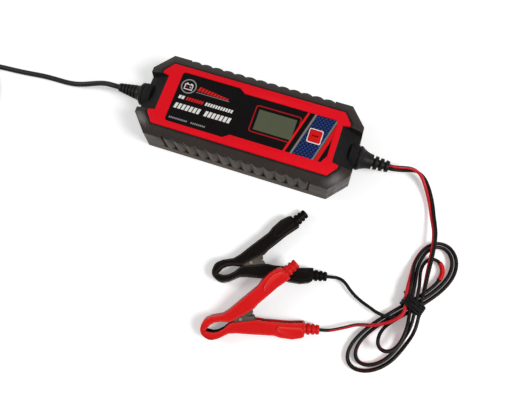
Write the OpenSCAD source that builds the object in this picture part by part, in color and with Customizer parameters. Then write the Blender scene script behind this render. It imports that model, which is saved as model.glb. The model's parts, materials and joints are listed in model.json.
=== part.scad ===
// Smart battery charger with a mains cord, a twin output cord and two spring clamps.
// The case stands on its feet at z = 0, its length runs along X and the output end is at +X.

/* [Case] */
// Half length of the case at its base
case_half_length = 101; // [96:0.5:106]
// Half width of the case at its base
case_half_width = 39.7; // [38:0.1:42]
// Height of the lower case's rim, where the two halves part
part_height = 9.8; // [9:0.1:11]
// Height of the widest edge of the upper case
ridge_height = 30.3; // [29:0.1:31]
// Height of the lip round the bezel
lip_height = 34.2; // [33.5:0.1:35]
// Wall thickness of both halves
wall = 2.4; // [2:0.1:2.8]
// Height of the rubber feet below the case
foot_height = 0.8; // [0.5:0.1:1.2]

/* [Grip sides] */
// Number of rounded lobes along each long side
lobe_count = 13; // [9:1:13]
// Distance from lobe to lobe
lobe_pitch = 10.37; // [9.5:0.01:10.5]
// Radius of one lobe
lobe_radius = 7.5; // [7:0.1:9]
// Diameter of the pit at the foot of each valley
pit_diameter = 3; // [2:0.1:3.6]

/* [Bezel and facia] */
// Thickness of the bezel
bezel_thickness = 1.9; // [1.6:0.1:2.4]
// Depth of the facia's recess in the bezel
facia_recess = 0.9; // [0.7:0.1:1]
// Thickness of the facia plate
facia_thickness = 0.4; // [0.3:0.05:0.5]
// Width of the display window
window_width = 34; // [30:0.5:36]
// Height of the display window
window_height = 19.4; // [16:0.2:20]
// Width of the button's frame
frame_width = 12.4; // [12:0.1:13]
// Travel of the button
button_travel = 0.6; // [0.4:0.1:0.6]

/* [Boots] */
// Height of both boots' axis above the base
boot_height = 18; // [17:0.5:19]
// Radius of the boots' collar
collar_radius = 10.8; // [10:0.2:11.4]
// Radius of the boots' neck in the case wall
neck_radius = 6.6; // [6:0.1:7.5]

/* [Clamps] */
// Thickness of a clamp across its hinge axis
clamp_thickness = 11; // [10:0.5:12]
// Radius of the hinge rivet
rivet_radius = 1.5; // [1.2:0.1:1.7]
// Radius of the metal ears round the rivet
ear_radius = 5.5; // [5:0.1:6]
// Thickness of the insulating cover
cover_wall = 1.3; // [1.1:0.1:1.5]
// Thickness of the clamp's sheet metal
sheet = 1; // [0.8:0.1:1.2]

/* [Cords] */
// Diameter of the mains cord
mains_diameter = 4.8; // [4.4:0.1:5]
// Diameter of one core of the output cord
core_diameter = 2.8; // [2.6:0.1:2.9]
// Radius of the outer turn of the coiled mains cord
coil_radius = 38; // [37:0.5:39]
// Turns in each layer of the mains coil
coil_turns = 3.5; // [2.5:0.5:3.5]
// Length of the hank's upper lobes
upper_lobe = 61.2; // [60.4:0.2:62]
// Length of the hank's lower lobes
lower_lobe = 70.4; // [69.6:0.2:71.2]

/* [Hidden] */

$fn = 48;
e = 0.01;
play = 0.1;

// colours
case_grey = [0.24, 0.21, 0.2];
bright_red = [0.86, 0.11, 0.16];
facia_black = [0.07, 0.06, 0.06];
rubber_black = [0.08, 0.08, 0.08];
steel = [0.55, 0.54, 0.52];
board_green = [0.1, 0.35, 0.2];

// the case's half widths at its base, ridge and lip: along X, along Y and across the cut corners
case_bottom = foot_height;
levels = [case_bottom, ridge_height, lip_height];
half_x = [case_half_length, case_half_length - 3, case_half_length - 13.8];
half_y = [case_half_width, case_half_width, case_half_width - 8.8];
corner_angle = 41;
corner_start = case_half_length - 15.8;
corner_reach = corner_start * cos(corner_angle) + case_half_width * sin(corner_angle);
half_corner = [corner_reach, corner_reach - 1.3, corner_reach - 10];
bezel_corner = [[case_half_length - 22, case_half_width - 9.7], [case_half_length - 15.3, case_half_width - 18.5],
    [case_half_length - 15, case_half_width - 21.3], [case_half_length - 21, case_half_width - 22.4]];

// grip sides
lobe_start = 0.55;
valley_flat = 0.15;
cusp_depth = lobe_radius - sqrt(pow(lobe_radius, 2) - pow(lobe_pitch / 2, 2)) - valley_flat;
grip_half = lobe_count * lobe_pitch / 2;

// bezel stack
bezel_top = lip_height + 0.9;
seat_height = bezel_top - bezel_thickness;
facia_floor = bezel_top - facia_recess;
facia_top = facia_floor + facia_thickness;
ceiling = seat_height - wall + 0.2;
facia_points = [[-68.5, -21.9], [-67.8, -23.6], [-66.1, -24.3], [-15, -24.3], [-9.5, -20.3], [71, -20.3],
    [74.8, -13.5], [74.8, 20.3], [-9.5, 20.3], [-15, 24.3], [-66.1, 24.3], [-67.8, 23.6], [-68.5, 21.9]];
window_centre = [24.5, 0.5];
button_centre = [60.1, 0.5];
frame_height = frame_width + 0.8;
button_width = frame_width - 2.2;
button_length = frame_height - 2.2;

// trough between the ears at each end
trough_half = 18;
trough_start = case_half_length - 20.8;
trough_high = seat_height - 0.6;
trough_low = 20.4;
end_wall_x = case_half_length - 1.6;

// screws, feet and boards
screw_places = [for (x = [-1, 1], y = [-1, 1]) [x * (case_half_length - 25), y * (case_half_width - 11.7)]];
foot_places = [for (x = [-1, 1], y = [-1, 1]) [x * (case_half_length - 39), y * (case_half_width - 12.7)]];
foot_radius = 5;
board_bottom = 6;
board_thick = 1.6;
board_top = board_bottom + board_thick;
board_size = [143, 52];
stud_places = [for (x = [-1, 1], y = [-1, 1]) [x * 67, y * 21]];
upper_board = [62, 36];
upper_board_centre = [38, 0.5];
upper_board_top = ceiling - 5.4;
upper_board_thick = 1.2;
hanger_places = [for (x = [-1, 1], y = [-1, 1]) upper_board_centre + [x * 28, y * 15]];

// boots, from the case wall outwards
collar_start = case_half_length - 0.5;
flange_radius = 9.2;
flange_back = case_half_length - 6.4;
flange_front = flange_back + 1.8;
output_boot_end = case_half_length + 27.2;
mains_boot_end = case_half_length + 25.5;

// clamps: outline of the upper arm, x towards the handles, the lower arm is its mirror image
arm_outer = [[-34.4, 0.3], [-33.6, 3], [-32, 5.5], [-30, 7.6], [-27.5, 8.8], [-22.5, 9.3], [-13, 8],
    [-6.8, 9.6], [5, 14.4], [21.6, 20.7], [26, 24], [34.5, 28.1], [42, 29.5], [44.6, 29]];
arm_inner = [[49, 19], [44.7, 17.6], [36.7, 15.2], [24.7, 10.2], [18, 7.6], [13.4, 4.9], [10, 4],
    [-7.5, 0.6], [-9.5, 0.5], [-12, 1.6], [-16, 3.2], [-21, 3.9], [-25, 3.3], [-28.5, 1.2], [-30, 0.3]];
handle_angle = 22.8;
stub_start = [45.5, 23.5];
stub_length = 13.5;
ear_gap = 0.2;
black_place = [41, -115.4];
black_angle = 34.8;
red_place = [46.8, -159.4];
red_angle = 36.4;
tilt_point = [-27.5, -8.8];
tilt_line = -18.1;
red_tilt = 14;

// mains cord: from its boot to the coil
mains_route = [[-mains_boot_end, 0, 18], [-132, 0, 17.8], [-139, 0.6, 16], [-146, 1, 13], [-154, 0.5, 9.4],
    [-162, -0.8, 6.2], [-170, -2.4, 4], [-178, -3.8, 2.9], [-187, -4.5, 2.5], [-198, -4.6, 2.5],
    [-210, -5, 2.5], [-222, -6.2, 2.5], [-234, -7.4, 2.5], [-246, -8.2, 2.5], [-258, -9, 2.5],
    [-270, -10.8, 2.5], [-276, -12, 2.5], [-280, -12.5, 2.5], [-285, -12.5, 2.5]];
coil_start = [-285, -12.5, 2.5];
coil_centre = [coil_start[0] - 5, coil_start[1] - coil_radius];
coil_gap = 0.5;
coil_steps = 24;
plug_length = 34;
plug_face = [35.3, 13.7];
pin_spacing = 18.6;

// output cord: x, y, z of its middle and its roll, 0 lying flat and 90 on edge
output_route = [[output_boot_end, 0, 18, 0], [133, 0.2, 18, 0], [140, 2.2, 16.8, 0], [146, 4.4, 15.2, 0],
    [151.5, 5.8, 13.2, 0], [157, 5.4, 10.8, 5], [162, 3, 8.6, 15], [166, -1, 7, 30], [169.5, -6, 5.8, 45],
    [173, -12.5, 4.8, 60], [176, -20, 4.4, 75], [178.6, -28.5, 5, 90], [180.4, -34.8, 7.2, 90],
    [181.6, -40.4, 9, 90], [182.2, -46, 9.2, 90]];
hank_start = [[182.2, -46, 9.2], [182.8, -51.6, 9.4], [183.1, -57.4, 9.4], [183.3, -64, 9.3], [183.4, -71, 9.3],
    [183.5, -78, 9.4], [183.6, -86, 9.7], [183.7, -94, 10.1], [183.7, -101, 10.2]];
hank_middle = [178.1, -107];
hank_axis = 70;
hank_width = 0.43;
low_layer = 4;
high_layer = 10.2;
floor_layer = 3;
high_pitch = 4.25;
low_pitch = 3.7;
// the small lower lobe starts this high and comes down between these two turns of its path
over_layer = 13;
over_end = [114, 152];
lobe_steps = 24;
hank_end = [[172.2, -107.5, 10.2], [172.5, -111.5, 10.2]];
red_route = [[172.5, -111.5, 11.6], [172.8, -115.5, 11.6], [172.2, -118.8, 11.4], [169.4, -122.6, 10.6],
    [165.5, -126, 9.5], [160.5, -128.8, 8.4], [155, -131.2, 8], [149.5, -132.8, 7.8], [144, -134.4, 7.6],
    [138, -136.6, 7.4], [131, -140.8, 7.1], [125, -144.3, 6.9], [119.8, -147, 7], [115.2, -148.6, 7.1]];
black_route = [[172.5, -111.5, 8.8], [172.8, -115.5, 8.8], [171, -118.4, 8.7], [167.4, -120.4, 8.4],
    [163, -121.8, 8], [159, -122.2, 7.8], [155, -121.8, 7.7], [150.5, -121, 7.5], [146, -119.4, 7],
    [139, -117, 6.2], [132.4, -114, 5.8], [127, -110.6, 5.6], [122.4, -106.9, 5.5], [118, -104.6, 5.5],
    [113.5, -104.1, 5.5], [109.2, -105, 5.5]];

// ---- shared shapes ----

// full outline from one corner's points, symmetric about both axes
function ring(q) = [for (p = [q[3], q[2], q[1], q[0]]) p, for (p = q) [-p[0], p[1]],
    for (p = [q[3], q[2], q[1], q[0]]) [-p[0], -p[1]], for (p = q) [p[0], -p[1]]];
function mix(a, b, t) = a + (b - a) * t;
// a half width of the case at a height below the ridge

function unit(v) = v / norm(v);
function heading(p, i) = unit(p[min(i + 1, len(p) - 1)] - p[max(i - 1, 0)]);
function place(p) = [p[0], p[1], p[2]];
// sideways direction of a tube, Y where it runs upright
function side_of(c) = norm(c) < 0.05 ? [0, 1, 0] : unit(c);

// tube along a route, half width a, half height b, each point's roll turns the section
module sweep(route, a, b, sides) {
    p = [for (q = route) place(q)];
    n = len(p);
    points = [for (i = [0:n - 1])
        let (t = heading(p, i), s = side_of(cross(t, [0, 0, 1])), u = cross(s, t), r = route[i][3])
        for (k = [0:sides - 1])
            let (w = (k + 0.5) * 360 / sides, x = a * cos(w), y = b * sin(w))
            p[i] + s * (x * cos(r) - y * sin(r)) + u * (x * sin(r) + y * cos(r))];
    walls = [for (i = [0:n - 2]) for (k = [0:sides - 1])
        let (c = i * sides + k, d = i * sides + (k + 1) % sides)
        each [[c, c + sides, d], [d, c + sides, d + sides]]];
    starts = [for (k = [1:sides - 2]) [0, k, k + 1]];
    ends = [for (k = [1:sides - 2]) [(n - 1) * sides, (n - 1) * sides + k + 1, (n - 1) * sides + k]];
    polyhedron(points, concat(starts, walls, ends), convexity = 10);
}
function rolled(route, r) = [for (p = route) [p[0], p[1], p[2], r]];
function length(p, i = 0) = i < len(p) - 1 ? norm(place(p[i + 1]) - place(p[i])) + length(p, i + 1) : 0;

module on_x(x) {
    translate([x, 0, boot_height]) rotate([0, 90, 0]) children();
}

// ---- case ----

module valleys() {
    for (side = [-1, 1]) difference() {
        translate([lobe_start - grip_half, side > 0 ? case_half_width - cusp_depth : -case_half_width - 5])
            square([2 * grip_half, cusp_depth + 5]);
        for (i = [0:lobe_count - 1])
            translate([lobe_start + (i + 0.5) * lobe_pitch - grip_half, side * (case_half_width - lobe_radius)])
                circle(lobe_radius);
    }
}

// bar with the case's sloping walls on two sides, d inside them
module walls_across(angle, half, d) {
    top = lip_height - 0.65 * d;
    slope = 5 / (ridge_height - case_bottom) * (half[0] - half[1]);
    right = [[half[0] + slope - d, case_bottom - 5], [half[1] - d, ridge_height - 0.65 * d],
        [half[2] - d, top], [half[2] - d, top + 5]];
    left = [for (i = [3:-1:0]) [-right[i][0], right[i][1]]];
    rotate([0, 0, angle]) rotate([90, 0, 0]) linear_extrude(300, center = true) polygon(concat(right, left));
}

// the case between two heights, d inside its outer faces
module case_block(d, z0, z1) {
    intersection() {
        translate([-150, -100, z0]) cube([300, 200, z1 - z0]);
        walls_across(0, half_x, d);
        walls_across(90, half_y, d);
        walls_across(corner_angle, half_corner, d);
        walls_across(-corner_angle, half_corner, d);
    }
}

module case_hollow(z0, z1) {
    side = case_half_width - cusp_depth - wall;
    intersection() {
        case_block(wall, z0, z1);
        translate([-150, -side, z0 - 1]) cube([300, 2 * side, z1 - z0 + 2]);
    }
}

module trough(grow) {
    for (side = [0, 1]) mirror([side, 0, 0])
        translate([0, trough_half + grow, 0]) rotate([90, 0, 0])
            linear_extrude(2 * (trough_half + grow))
                polygon([[trough_start - grow, 50], [trough_start - grow, trough_high - grow],
                    [end_wall_x, trough_low - grow], [end_wall_x + 20, trough_low - grow], [end_wall_x + 20, 50]]);
}

module boot_holes(radius) {
    for (side = [-1, 1]) on_x(side * (case_half_length - 3)) cylinder(h = 20, r = radius, center = true);
}

// pockets for the flanges that hold the boots
module flange_pockets() {
    for (side = [-1, 1]) on_x(side * (flange_back + 0.9)) cylinder(h = 2.2, r = flange_radius + 0.2, center = true);
}

module boot_bosses() {
    intersection() {
        for (side = [0, 1]) mirror([side, 0, 0])
            on_x(flange_back - 2) cylinder(h = 7.2, r = collar_radius);
        translate([-150, -50, part_height]) cube([300, 100, 50]);
    }
}

module upper_case() {
    color(case_grey) difference() {
        union() {
            difference() {
                union() {
                    difference() {
                        case_block(0, part_height, lip_height);
                        trough(0);
                        translate([0, 0, part_height - 1]) linear_extrude(40) valleys();
                    }
                    boot_bosses();
                }
                difference() {
                    case_hollow(part_height - 1, ceiling);
                    trough(wall);
                }
                translate([0, 0, seat_height]) linear_extrude(5) offset(delta = 0.5) polygon(ring(bezel_corner));
            }
            for (p = screw_places) translate([p[0], p[1], 14]) cylinder(h = ceiling - 14 + 0.4, r = 3.6);
            for (p = hanger_places)
                translate([p[0], p[1], upper_board_top]) cylinder(h = ceiling - upper_board_top + 0.4, r = 2.4);
        }
        for (p = screw_places) translate([p[0], p[1], 13]) cylinder(h = 12, r = 1.55);
        for (p = hanger_places) translate([p[0], p[1], upper_board_top - 1]) cylinder(h = 5, r = 0.95);
        for (side = [-1, 1], i = [0:lobe_count])
            translate([lobe_start + i * lobe_pitch - grip_half, side * (case_half_width + 2),
                part_height + pit_diameter / 2 + 0.3]) rotate([side * 90, 0, 0]) cylinder(h = 5.6, d = pit_diameter, $fn = 16);
        boot_holes(neck_radius + play);
        flange_pockets();
        for (side = [-1, 1]) translate([side * (case_half_length - 8), 0, boot_height / 2])
            cube([30, 2 * (neck_radius + play), boot_height], center = true);
        translate([window_centre[0], window_centre[1], 32])
            cube([window_width - 1, window_height - 1, 10], center = true);
        translate([button_centre[0], button_centre[1], 32])
            cube([button_width + 0.6, button_length + 0.6, 10], center = true);
    }
}

module lower_case() {
    color(case_grey) difference() {
        union() {
            difference() {
                case_block(0, case_bottom, part_height);
                case_hollow(case_bottom + wall, part_height + 1);
            }
            intersection() {
                for (side = [0, 1]) mirror([side, 0, 0])
                    translate([case_half_length - 8, play - neck_radius, case_bottom + 1])
                        cube([5.4, 2 * (neck_radius - play), boot_height - case_bottom - 1]);
                case_block(0, case_bottom, boot_height);
            }
            for (p = screw_places) translate([p[0], p[1], case_bottom + 1]) cylinder(h = 14 - case_bottom - 1.1, r = 4);
            for (p = stud_places) translate([p[0], p[1], case_bottom + 1]) cylinder(h = board_bottom - case_bottom - 1, r = 3);
        }
        boot_holes(neck_radius + play);
        flange_pockets();
        for (p = screw_places) {
            translate([p[0], p[1], case_bottom - 1]) cylinder(h = 3.4, r = 3);
            translate([p[0], p[1], case_bottom]) cylinder(h = 20, r = 1.7);
        }
        for (p = stud_places) translate([p[0], p[1], case_bottom + wall]) cylinder(h = 10, r = 0.95);
        for (p = foot_places) translate([p[0], p[1], case_bottom - 1]) cylinder(h = 1.8, r = foot_radius + play);
        seal_channel(1, part_height - 1);
    }
}

module seal_channel(width, z0) {
    difference() {
        case_block(0.7, z0, z0 + 2);
        case_block(0.7 + width, z0 - 1, z0 + 3);
    }
}

module case_seal() {
    color(rubber_black) intersection() {
        seal_channel(0.9, part_height - 0.95);
        translate([-150, -60, 0]) cube([300, 120, part_height - 0.05]);
    }
}

module rubber_feet() {
    color(rubber_black) for (p = foot_places) translate([p[0], p[1], 0]) rotate_extrude()
        polygon([[0, 0], [foot_radius - 0.5, 0], [foot_radius, 0.5], [foot_radius, foot_height + 0.8], [0, foot_height + 0.8]]);
}

module screw(length, head_radius, radius) {
    difference() {
        union() {
            cylinder(h = 1.8, r1 = head_radius - 0.4, r2 = head_radius);
            translate([0, 0, 1.8 - e]) cylinder(h = length, r = radius);
        }
        for (a = [0, 90]) rotate([0, 0, a]) translate([-1.3, -0.3, -1]) cube([2.6, 0.6, 1.9]);
    }
}

module case_screws() {
    color(steel) for (p = screw_places) translate([p[0], p[1], case_bottom + 0.6]) screw(19, 2.8, 1.45);
}

// ---- bezel, facia, display and button ----

module facia_outline(grow) {
    offset(delta = grow) polygon(facia_points);
}

module top_bezel() {
    color(bright_red) difference() {
        union() {
            translate([0, 0, seat_height]) linear_extrude(bezel_thickness - 0.5) polygon(ring(bezel_corner));
            translate([0, 0, seat_height + 0.5]) linear_extrude(bezel_thickness - 0.5)
                offset(delta = -0.4) polygon(ring(bezel_corner));
        }
        translate([0, 0, facia_floor]) linear_extrude(5) facia_outline(0);
        translate([window_centre[0], window_centre[1], 32])
            cube([window_width + 2 * play, window_height + 2 * play, 20], center = true);
        translate([button_centre[0], button_centre[1], 32])
            cube([frame_width + 2 * play, frame_height + 2 * play, 20], center = true);
    }
}

module facia_plate() {
    color(facia_black) difference() {
        translate([0, 0, facia_floor]) linear_extrude(facia_thickness) facia_outline(-0.15);
        translate([window_centre[0], window_centre[1], 32])
            cube([window_width + 2 * play, window_height + 2 * play, 20], center = true);
        translate([button_centre[0], button_centre[1], 32])
            cube([frame_width + 2 * play, frame_height + 2 * play, 20], center = true);
    }
}

module display_lens() {
    color([0.35, 0.37, 0.3]) translate([window_centre[0] - window_width / 2, window_centre[1] - window_height / 2, seat_height])
        cube([window_width, window_height, facia_top - seat_height - 0.1]);
}

module display_module() {
    bottom = upper_board_top;
    color([0.3, 0.33, 0.28]) translate([window_centre[0], window_centre[1], bottom]) {
        translate([-19, -12, 0]) cube([38, 24, 2.4]);
        translate([-18, -10.5, 2.4]) cube([36, 21, ceiling - bottom - 2.5]);
    }
}

module rounded_block(size, radius) {
    linear_extrude(size[2]) offset(r = radius, $fn = 24)
        square([size[0] - 2 * radius, size[1] - 2 * radius], center = true);
}

module button_frame() {
    color([0.82, 0.82, 0.82]) translate([button_centre[0], button_centre[1], seat_height]) difference() {
        rounded_block([frame_width, frame_height, facia_top - seat_height + 0.35], 1.6);
        translate([0, 0, -1]) rounded_block([button_width + 0.4, button_length + 0.4, 5], 1.1);
    }
}

module mode_button() {
    flange_top = ceiling - 0.3;
    color(bright_red) translate([button_centre[0], button_centre[1], 0]) {
        translate([0, 0, flange_top - e]) rounded_block([button_width, button_length, facia_top + 0.9 - flange_top], 1);
        translate([0, 0, flange_top - 1.2]) rounded_block([button_width + 2.4, button_length + 2.4, 1.2], 1);
    }
}

module tactile_switch() {
    body = 2.2;
    plunger_top = ceiling - 0.3 - 1.2 - button_travel - 0.15;
    color(facia_black) translate([button_centre[0], button_centre[1], upper_board_top]) {
        translate([-3, -3, 0]) cube([6, 6, body]);
        cylinder(h = plunger_top - upper_board_top, r = 1.7);
    }
}

module board(size, thick, holes, hole_radius) {
    difference() {
        translate([-size[0] / 2, -size[1] / 2, 0]) cube([size[0], size[1], thick]);
        for (p = holes) translate([p[0], p[1], -1]) cylinder(h = thick + 2, r = hole_radius);
    }
}

module display_board() {
    color(board_green) translate([upper_board_centre[0], upper_board_centre[1], upper_board_top - upper_board_thick])
        board(upper_board, upper_board_thick, [for (p = hanger_places) p - upper_board_centre], 1.1);
}

module board_link() {
    bottom = board_top;
    top = upper_board_top - upper_board_thick;
    color(facia_black) translate([20, -14, bottom]) cube([18, 2.5, 2.5]);
    color(steel) for (i = [0:6]) translate([20.6 + i * 2.54, -13.05, bottom + 2.5]) cube([0.6, 0.6, top - bottom - 2.5]);
}

// ---- main board and its parts ----

module main_board() {
    color(board_green) translate([0, 0, board_bottom]) board(board_size, board_thick, stud_places, 1.1);
}

module board_screws() {
    color(steel) {
        for (p = stud_places) translate([p[0], p[1], board_top + 1.8]) mirror([0, 0, 1]) screw(4.2, 2, 0.9);
        for (p = hanger_places) translate([p[0], p[1], upper_board_top - upper_board_thick - 1.8]) screw(4.2, 2, 0.9);
    }
}

module transformer() {
    color([0.2, 0.19, 0.18]) translate([-34, 0, board_top]) {
        translate([-14, -13, 0]) cube([28, 26, 3]);
        difference() {
            translate([-13, -12, 3]) cube([26, 24, 17]);
            for (side = [-1, 1]) translate([0, side * 12, 11.5]) cube([16, 9, 18], center = true);
        }
    }
    color([0.75, 0.6, 0.2]) translate([-34, 0, board_top + 4]) cylinder(h = 15, r = 7.6);
}

module capacitor(radius, height) {
    rotate_extrude() polygon([[0, 0], [radius, 0], [radius, height - 3], [radius - 0.6, height - 2.2],
        [radius, height - 1.4], [radius, height - 0.4], [radius - 0.4, height], [0, height]]);
}

module mains_capacitor() {
    color([0.15, 0.2, 0.4]) translate([-57, -12, board_top]) capacitor(8, 18);
}

module output_capacitors() {
    color([0.15, 0.2, 0.4]) for (i = [0:2]) translate([48 - i * 1, -12 + i * 12, board_top]) capacitor(4, 12);
}

module heat_sink() {
    color(steel) translate([2, 6, board_top]) {
        translate([-1, -10, 0]) cube([2, 20, 14]);
        for (i = [0:4]) translate([1 - e, -10 + i * 4.6, 0]) cube([7, 1.4, 14]);
    }
}

module power_transistor() {
    color(facia_black) translate([-3.5, 1, board_top + 2]) cube([4.5, 10, 11]);
    color(steel) for (i = [0:2]) translate([-2, 3 + i * 2.54, board_top]) cube([0.6, 0.9, 2]);
}

module mains_fuse() {
    color([0.8, 0.8, 0.78]) translate([-60, 12, board_top + 3]) rotate([0, 90, 0]) cylinder(h = 20, r = 2.5, center = true);
    color(steel) for (x = [-68, -52]) translate([x - 1.5, 9, board_top]) difference() {
        cube([3, 6, 4]);
        translate([-1, 3, 3]) rotate([0, 90, 0]) cylinder(h = 5, r = 2.5 + play);
    }
}

// ---- boots and inner leads ----

module boot(profile) {
    rotate([0, 90, 0]) rotate_extrude() polygon(profile);
}

module output_boot() {
    c = collar_radius;
    color(rubber_black) translate([0, 0, boot_height]) boot([
        [0, flange_back], [flange_radius, flange_back], [flange_radius, flange_front], [neck_radius, flange_front],
        [neck_radius, collar_start], [c, collar_start],
        [c, collar_start + 2.2], [c - 0.8, collar_start + 3], [c - 1.6, collar_start + 4], [7.6, collar_start + 7.5],
        [6.9, collar_start + 10], [6.5, collar_start + 13], [3.9, collar_start + 13.4], [3.8, collar_start + 14.8],
        [6.2, collar_start + 15.2], [6, collar_start + 17.8], [3.7, collar_start + 18.2], [3.6, collar_start + 19.6],
        [5.7, collar_start + 20], [5.5, collar_start + 22.6], [3.5, collar_start + 23], [3.4, collar_start + 24.4],
        [5.2, collar_start + 24.8], [5, output_boot_end - 0.4], [4.6, output_boot_end], [0, output_boot_end]]);
}

module mains_boot() {
    c = collar_radius - 0.4;
    ribs = [for (i = [0:4]) let (x = collar_start + 8 + i * 3.4, r = 6.4 - i * 0.55)
        each [[r - 0.8, x], [r - 0.8, x + 0.8], [r, x + 1.1], [r - 0.15, x + 3.1]]];
    color(rubber_black) mirror([1, 0, 0]) translate([0, 0, boot_height]) boot(concat([
        [0, flange_back], [flange_radius, flange_back], [flange_radius, flange_front], [neck_radius, flange_front],
        [neck_radius, collar_start], [c, collar_start],
        [c, collar_start + 2.4], [c - 0.8, collar_start + 3.2], [7.2, collar_start + 5], [6.6, collar_start + 7.6]],
        ribs, [[3.6, mains_boot_end - 0.3], [3.3, mains_boot_end], [0, mains_boot_end]]));
}

module inner_leads(start, board_x) {
    for (side = [-1, 1])
        sweep(rolled([[start, side * 3, boot_height], [start - 3, side * 3, boot_height],
            [board_x + 8, side * 3.5, boot_height - 3], [board_x + 1, side * 4, board_top + 4],
            [board_x, side * 4, board_top + 1.5], [board_x, side * 4, board_top]], 0), 1.1, 1.1, 8);
}

module output_inner_leads() {
    color(facia_black) inner_leads(flange_back, 66);
}

module mains_inner_leads() {
    color([0.3, 0.25, 0.5]) mirror([1, 0, 0]) inner_leads(flange_back, 66);
}

// ---- mains cord, its coil and its plug ----

module mains_cord() {
    color(rubber_black) sweep(rolled(mains_route, 0), mains_diameter / 2, mains_diameter / 2, 8);
}

coil_pitch = mains_diameter + coil_gap;
coil_travel = coil_turns * 2 + 0.25;
// turn number along the coil to its radius and height: in on the lower layer, out on the upper one
function coil_r(t) = coil_radius - coil_pitch * (t <= coil_turns ? t : 2 * coil_turns - t);
function coil_z(t) = 2.5 + coil_pitch * smooth((t - coil_turns + 0.25) / 0.5);
function smooth(t) = t <= 0 ? 0 : t >= 1 ? 1 : (1 - cos(180 * t)) / 2;
coil_path = [for (i = [0:coil_steps * coil_travel])
    let (t = i / coil_steps, a = 90 + 360 * t)
    [coil_centre[0] + coil_r(t) * cos(a), coil_centre[1] + coil_r(t) * sin(a), coil_z(t)]];
coil_last = coil_path[len(coil_path) - 1];
plug_height = plug_face[1] / 2 + 0.1;
coil_tail = [for (q = [[6, 0], [14, 0.1], [22, 0.8], [29, 1], [35, 1]])
    [coil_last[0], coil_last[1] - q[0], mix(coil_last[2], plug_height, q[1])]];
mains_path = concat([coil_start], coil_path, coil_tail);
plug_place = mains_path[len(mains_path) - 1];
module mains_coil() {
    color(rubber_black) sweep(rolled(mains_path, 0), mains_diameter / 2, mains_diameter / 2, 6);
}

module plug_body() {
    color(rubber_black) translate(plug_place) rotate([90, 0, 0]) difference() {
        union() {
            cylinder(h = 16, r1 = 3.6, r2 = 4.6);
            hull() {
                translate([0, 0, 12]) rounded_block([12, 9, 1], 4);
                translate([0, 0, 30]) rounded_block([plug_face[0], plug_face[1], plug_length + 12 - 30], 5);
            }
            for (side = [-1, 1]) translate([side * pin_spacing / 2, 0, plug_length + 11]) cylinder(h = 11, r = 1.7);
        }
        for (side = [-1, 1]) translate([side * pin_spacing / 2, 0, plug_length]) cylinder(h = 30, r = 1.35);
    }
}

module plug_pins() {
    color([0.8, 0.78, 0.7]) translate(plug_place) rotate([90, 0, 0]) for (side = [-1, 1])
        translate([side * pin_spacing / 2, 0, plug_length + 0.1]) rotate_extrude()
            polygon([[0, 0], [1.3, 0], [1.3, 21.9], [2, 21.9], [2, 29.9], [1.2, 31], [0, 31]]);
}

// ---- output cord, hank and leads ----

module output_cord() {
    color(rubber_black) sweep(output_route, core_diameter, core_diameter / 2, 8);
}

// one lobe of the hank: its side (1 upper, -1 lower), length, swing of its axis, widening and its places
// at the waist, and the height at which it starts where it passes over the others
function lobe_path(side, size, swing, widen, from, to, raised = 0) = [for (i = [1:lobe_steps])
    let (s = 180 * i / lobe_steps, bow = side > 0 ? pow(sin(s), 2) : sin(s), a = hank_axis + swing * bow,
        axis = side * [cos(a), sin(a)], right = [sin(a), -cos(a)], across = [sin(hank_axis), -cos(hank_axis)],
        u = size * sin(s), v = size * (hank_width + widen * bow) / 2 * sin(2 * s),
        near = 1 - smooth((u - 14) / 20), end_layer = (s < 90) == (side > 0) ? low_layer : high_layer,
        over = mix(raised, low_layer, smooth((s - over_end[0]) / (over_end[1] - over_end[0]))),
        z = raised == 0 ? mix(floor_layer, end_layer, near)
            : s < 90 ? mix(high_layer, over, smooth((u - 4) / 14)) : over,
        p = hank_middle + mix(from, to, (1 - cos(s)) / 2) * across + u * axis + v * right)
    [p[0], p[1], z]];
hank_path = concat(hank_start,
    lobe_path(-1, lower_lobe, -10.5, -0.14, 1.5 * high_pitch, -low_pitch),
    lobe_path(1, upper_lobe - 15.8, 3.5, 0.06, -low_pitch, 0.5 * high_pitch),
    lobe_path(-1, lower_lobe - 7, -9, -0.11, 0.5 * high_pitch, 0),
    lobe_path(1, upper_lobe - 3.6, 2.5, -0.03, 0, -0.5 * high_pitch),
    lobe_path(-1, lower_lobe - 25.6, -3.5, 0.01, -0.5 * high_pitch, low_pitch, over_layer),
    lobe_path(1, upper_lobe, 1.5, -0.03, low_pitch, -1.5 * high_pitch), hank_end);

// least gap between strands that are not neighbours along the tube, with b its half height
function near_point(a, b, p) = let (d = b - a, t = max(0, min(1, ((p - a) * d) / max(d * d, e)))) a + d * t;
function strand_gap(p, q, a, b) = let (d = q - p)
    a == b ? norm(d) - 2 * a : max(norm([d[0], d[1]]) - 2 * a, abs(d[2]) - 2 * b);
function least_gap(path, skip, a, b) = min([for (i = [0:len(path) - 1]) for (k = [i + skip:1:len(path) - 2])
    strand_gap(path[i], near_point(path[k], path[k + 1], path[i]), a, b)]);

module output_hank() {
    echo(hank_gap = least_gap(hank_path, 5, core_diameter / 2, core_diameter));
    echo(hank_length = length(hank_path), output_length = length(output_route));
    echo(coil_gap = least_gap(mains_path, 6, mains_diameter / 2, mains_diameter / 2));
    echo(coil_length = length(mains_path), mains_length = length(mains_route), plug_place = plug_place);
    echo(red_length = length(red_route), black_length = length(black_route));
    color(rubber_black) sweep(rolled(hank_path, 0), core_diameter / 2, core_diameter, 6);
}

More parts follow.
